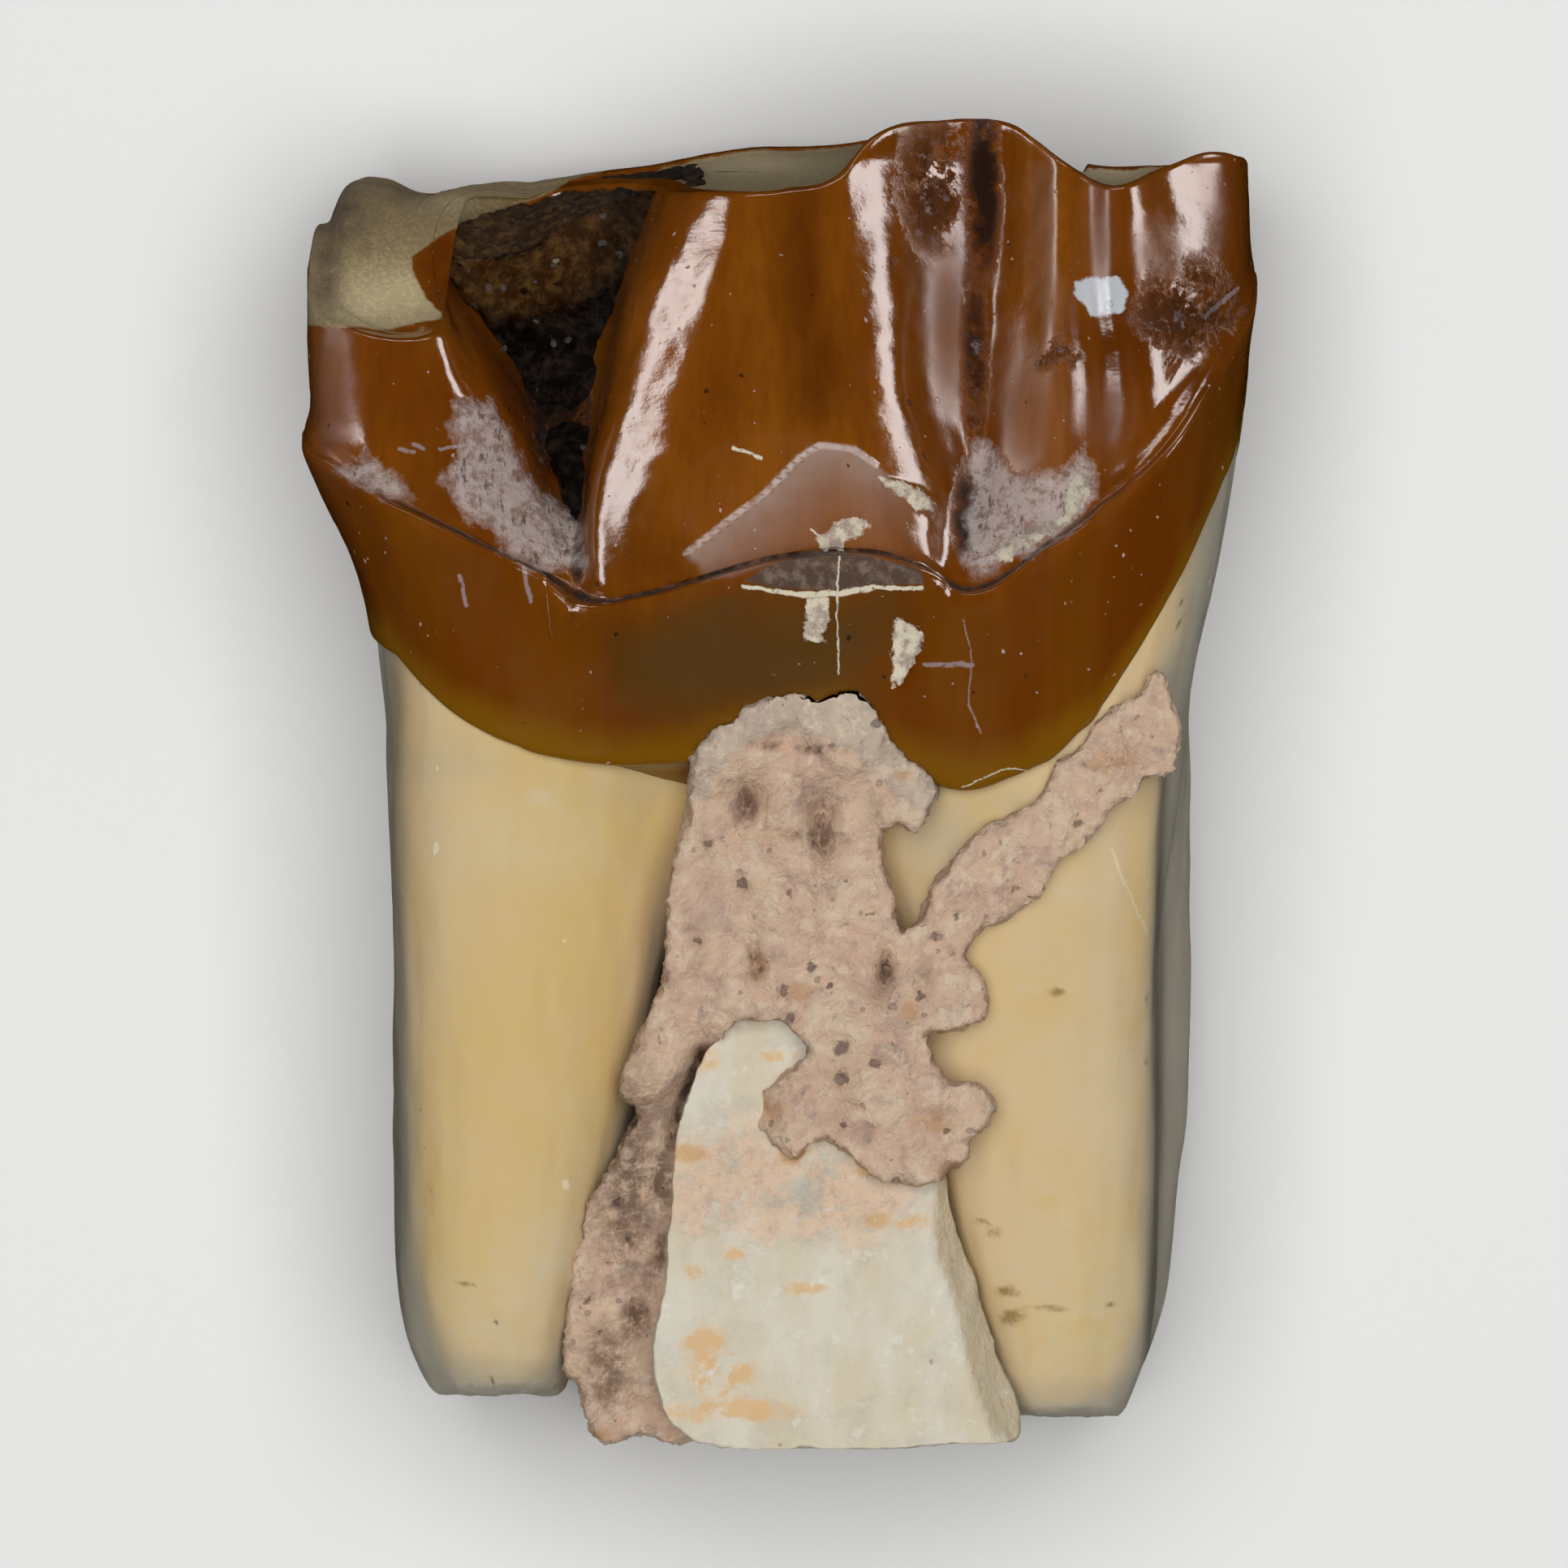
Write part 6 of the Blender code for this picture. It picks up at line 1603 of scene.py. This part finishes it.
class MESH_OT_fossil_sandstone(bpy.types.Operator):
    """Model the sandstone stuck between the roots"""

    bl_idname = "mesh.fossil_sandstone"
    bl_label = "Sandstone"
    bl_options = {"REGISTER", "UNDO"}

    def execute(self, context):
        sizes, colours = sizes_and_colours()
        back, front = 3.0, 13.0
        piece, points = rough_slab("sandstone", MATRIX_OUTLINE, back, front, sizes.grain)
        reach = weighted_height(points[:, :2], MATRIX_FRONT)
        low = back + 6.0 * smooth_step(points[:, 0], 7.4, 8.6)
        points[:, 2] = low + (points[:, 2] - back) / (front - back) * (reach - low)
        normals = triples(piece, "normal")
        points[:, 0] += lumpiness(points, 0.55, 4, 0.7) * 0.09
        points[:, 1] += lumpiness(points + 40, 0.55, 4, 0.7) * 0.09
        grain = lumpiness(points, 0.3, 3, 0.7)
        lift = lumpiness(points, 1.1, 5, 0.68) * 0.17 + grain * 0.05
        lift *= 0.35 + 0.65 * np.abs(normals[:, 2])
        outer = smooth_step(points[:, 2], 9.0, 10.0)
        hollow = outer * sum(depth * spots(points, [(u, v, a, b)]) for u, v, a, b, depth in ROCK_HOLLOWS)
        pore = outer * spots(points, [(u, v, radius, radius) for u, v, radius in ROCK_PORES])
        points += normals * lift[:, None]
        points[:, 2] -= hollow + 0.3 * pore
        set_points(piece, points)
        # The shade measure is painted shade in the hollows, together with the darker places
        measures = {
            "shade": np.clip(np.maximum(hollow, outer * spots(points, ROCK_SHADES)), 0, 1), "pore": pore,
            # The grain's relief also sets its painted shade and light in the material
            "rust": outer * spots(points, ROCK_RUST), "grain": lift, "rim": areas_into(points, (ROCK_RIM,)),
        }
        set_measures(piece, measures)
        finish_piece(piece, "rock_matrix", sandstone_material(colours))
        return {"FINISHED"}


class MESH_OT_fossil_bone(bpy.types.Operator):
    """Model the wedge of jaw bone between the root ends"""

    bl_idname = "mesh.fossil_bone"
    bl_label = "Jaw Bone"
    bl_options = {"REGISTER", "UNDO"}

    def execute(self, context):
        sizes, colours = sizes_and_colours()
        back, front = 2.65, 11.9
        piece, points = rough_slab("jaw_bone_wedge", BONE_OUTLINE, back, front, sizes.grain)
        beyond = points[:, 0] - smooth_through(*zip(*BONE_EDGE), points[:, 1])
        flat_height, slope = 11.75, 1.3
        planed = flat_height - slope * np.maximum(beyond, 0)
        points[:, 2] = np.minimum(points[:, 2], planed)
        crust = areas_into(points, (BONE_CRUST,))
        normals = triples(piece, "normal")
        lift = lumpiness(points * (1, 0.6, 1), 2.2, 4, 0.6) * 0.08 + lumpiness(points, 0.5, 4, 0.6) * 0.03
        lift += smooth_step(crust, -0.3, 1.0) * lumpiness(points, 0.6, 4, 0.65) * 0.1
        set_points(piece, points + normals * lift[:, None])
        pore = spots(points, [(u, v, radius, radius) for u, v, radius in ROCK_PORES])
        measures = {
            "edge": smooth_step(beyond, 0.0, 0.12) * (points[:, 2] > 7.0), "crust": crust, "pore": pore,
            "stain": spots(points, BONE_STAINS),
        }
        set_measures(piece, measures)
        finish_piece(piece, "jaw_bone", bone_material(colours))
        return {"FINISHED"}


class MESH_OT_fossil_sediment(bpy.types.Operator):
    """Model the dark sediment in the deep fold"""

    bl_idname = "mesh.fossil_sediment"
    bl_label = "Sediment"
    bl_options = {"REGISTER", "UNDO"}

    def execute(self, context):
        sizes, colours = sizes_and_colours()
        back, front = 3.4, 10.4
        piece, points = rough_slab("fold_sediment", SEDIMENT_OUTLINE, back, front, sizes.grain, 3)
        reach = weighted_height(points[:, :2], SEDIMENT_FRONT)
        points[:, 2] = back + (points[:, 2] - back) / (front - back) * (reach - back)
        normals = triples(piece, "normal")
        lift = lumpiness(points, 0.9, 5, 0.65) * 0.16 - pits(points, 0.8, 0.35) * 0.25
        points += normals * lift[:, None]
        worn = top_height(points[:, 0], points[:, 2]) - 0.1 + lumpiness(points, 0.5, 4, 0.6) * 0.1
        points[:, 1] = np.minimum(points[:, 1], worn)
        set_points(piece, points)
        # Blacker towards the fold, partly painted shade of the deep fold
        depth = smooth_step(points[:, 0], -6.0, -3.5) * 0.6 + smooth_step(-points[:, 1], -12.3, -10.2) * 0.9
        set_measures(piece, {"depth": depth})
        finish_piece(piece, "valley_sediment", sediment_material(colours))
        return {"FINISHED"}


GLINT_COLOUR = (1.0, 0.95, 0.93)


def add_softbox(name, place, size, brightness, colour, target=(0, 0, 0.006)):
    """A rectangular lamp of one brightness over its whole face, aimed at the target."""
    light = bpy.data.lights.new(name, "AREA")
    light.shape = "RECTANGLE"
    light.size, light.size_y = size
    light.energy = brightness * math.pi * size[0] * size[1]
    light.color = colour
    holder = bpy.data.objects.new(name, light)
    bpy.context.scene.collection.objects.link(holder)
    holder.location = place
    holder.rotation_euler = (Vector(target) - Vector(place)).to_track_quat("-Z", "Y").to_euler()
    return holder


class SCENE_OT_fossil_stage(bpy.types.Operator):
    """Lay the floor, set the lights and aim the camera straight down"""

    bl_idname = "scene.fossil_stage"
    bl_label = "Stage"
    bl_options = {"REGISTER", "UNDO"}

    def execute(self, context):
        _, colours = sizes_and_colours()
        bpy.ops.object.select_all(action="DESELECT")
        bpy.ops.mesh.primitive_plane_add(size=2.4, location=(0, 0, 0))
        floor = start_piece("studio_floor")
        floor.data.materials.append(floor_material(colours))

        # The camera stands well away, so that near and far parts show at one scale
        lens, sensor, width, height = 1000.0, 36.0, VIEW_WIDTH * VIEW_STEP * MM, 0.0065
        camera = bpy.data.cameras.new("camera")
        camera.lens, camera.sensor_width = lens, sensor
        camera.clip_start, camera.clip_end = 0.01, 10.0
        holder = bpy.data.objects.new("camera", camera)
        context.scene.collection.objects.link(holder)
        aside = -0.04
        holder.location = ((SHIFT[0] + aside) * MM, SHIFT[1] * MM, height + width * lens / sensor)
        context.scene.camera = holder

        # Two long lamps at the sides and a thin one beyond the crown only glint on the enamel, and a
        # broad one overhead lights everything evenly
        tilt, away, crownward = math.radians(66.5), 0.16, 0.0875
        target = (0, crownward, 0.006)
        for name, side, wide in (("hind_box", -1, 0.03), ("fore_box", 1, 0.042)):
            place = (side * math.sin(tilt) * away, crownward, math.cos(tilt) * away)
            lamp = add_softbox(name, place, (0.105, wide), 10.0, GLINT_COLOUR, target)
            lamp.visible_diffuse = False
        lamp = add_softbox("crown_box", (0.0, 0.146, 0.071), (0.12, 0.012), 9.0, GLINT_COLOUR)
        lamp.visible_diffuse = False
        lamp = add_softbox("overhead_box", (0.0, 0.0, 0.45), (0.4, 0.4), 4.5, (1.0, 1.0, 1.0))
        lamp.visible_glossy = False
        floor.visible_glossy = False
        world = bpy.data.worlds.new("studio")
        context.scene.world = world
        world.use_nodes = True
        world.node_tree.nodes["Background"].inputs["Color"].default_value = ROOM
        world.cycles_visibility.glossy = False
        context.scene.view_settings.view_transform = "Standard"
        return {"FINISHED"}


class VIEW3D_PT_fossil_tooth(bpy.types.Panel):
    """Panel with the tooth's pieces, sizes and colours."""

    bl_label = "Fossil Tooth"
    bl_space_type = "VIEW_3D"
    bl_region_type = "UI"
    bl_category = "Fossil Tooth"

    def draw(self, context):
        sizes, colours = sizes_and_colours()
        self.add_rows(sizes)
        for operator in PIECES:
            self.layout.operator(operator.bl_idname)
        self.add_rows(colours)

    def add_rows(self, group):
        """One row for each of a group's values."""
        for name in group.bl_rna.properties.keys():
            if name not in ("rna_type", "name"):
                self.layout.prop(group, name)


PIECES = (
    MESH_OT_fossil_crown,
    MESH_OT_fossil_roots,
    MESH_OT_fossil_sandstone,
    MESH_OT_fossil_bone,
    MESH_OT_fossil_sediment,
    SCENE_OT_fossil_stage,
)
CLASSES = (FossilToothSizes, FossilToothColours, *PIECES, VIEW3D_PT_fossil_tooth)


def register():
    """Adds the tooth's classes and values to Blender."""
    for made in CLASSES:
        bpy.utils.register_class(made)
    bpy.types.Scene.fossil_tooth_sizes = bpy.props.PointerProperty(type=FossilToothSizes)
    bpy.types.Scene.fossil_tooth_colours = bpy.props.PointerProperty(type=FossilToothColours)


def unregister():
    """Takes them out again."""
    del bpy.types.Scene.fossil_tooth_colours
    del bpy.types.Scene.fossil_tooth_sizes
    for made in reversed(CLASSES):
        bpy.utils.unregister_class(made)


def main():
    """Builds the whole scene."""
    register()
    bpy.ops.scene.fossil_stage()
    bpy.ops.mesh.fossil_crown()
    bpy.ops.mesh.fossil_roots()
    bpy.ops.mesh.fossil_sandstone()
    bpy.ops.mesh.fossil_bone()
    bpy.ops.mesh.fossil_sediment()


if __name__ == "__main__":
    main()
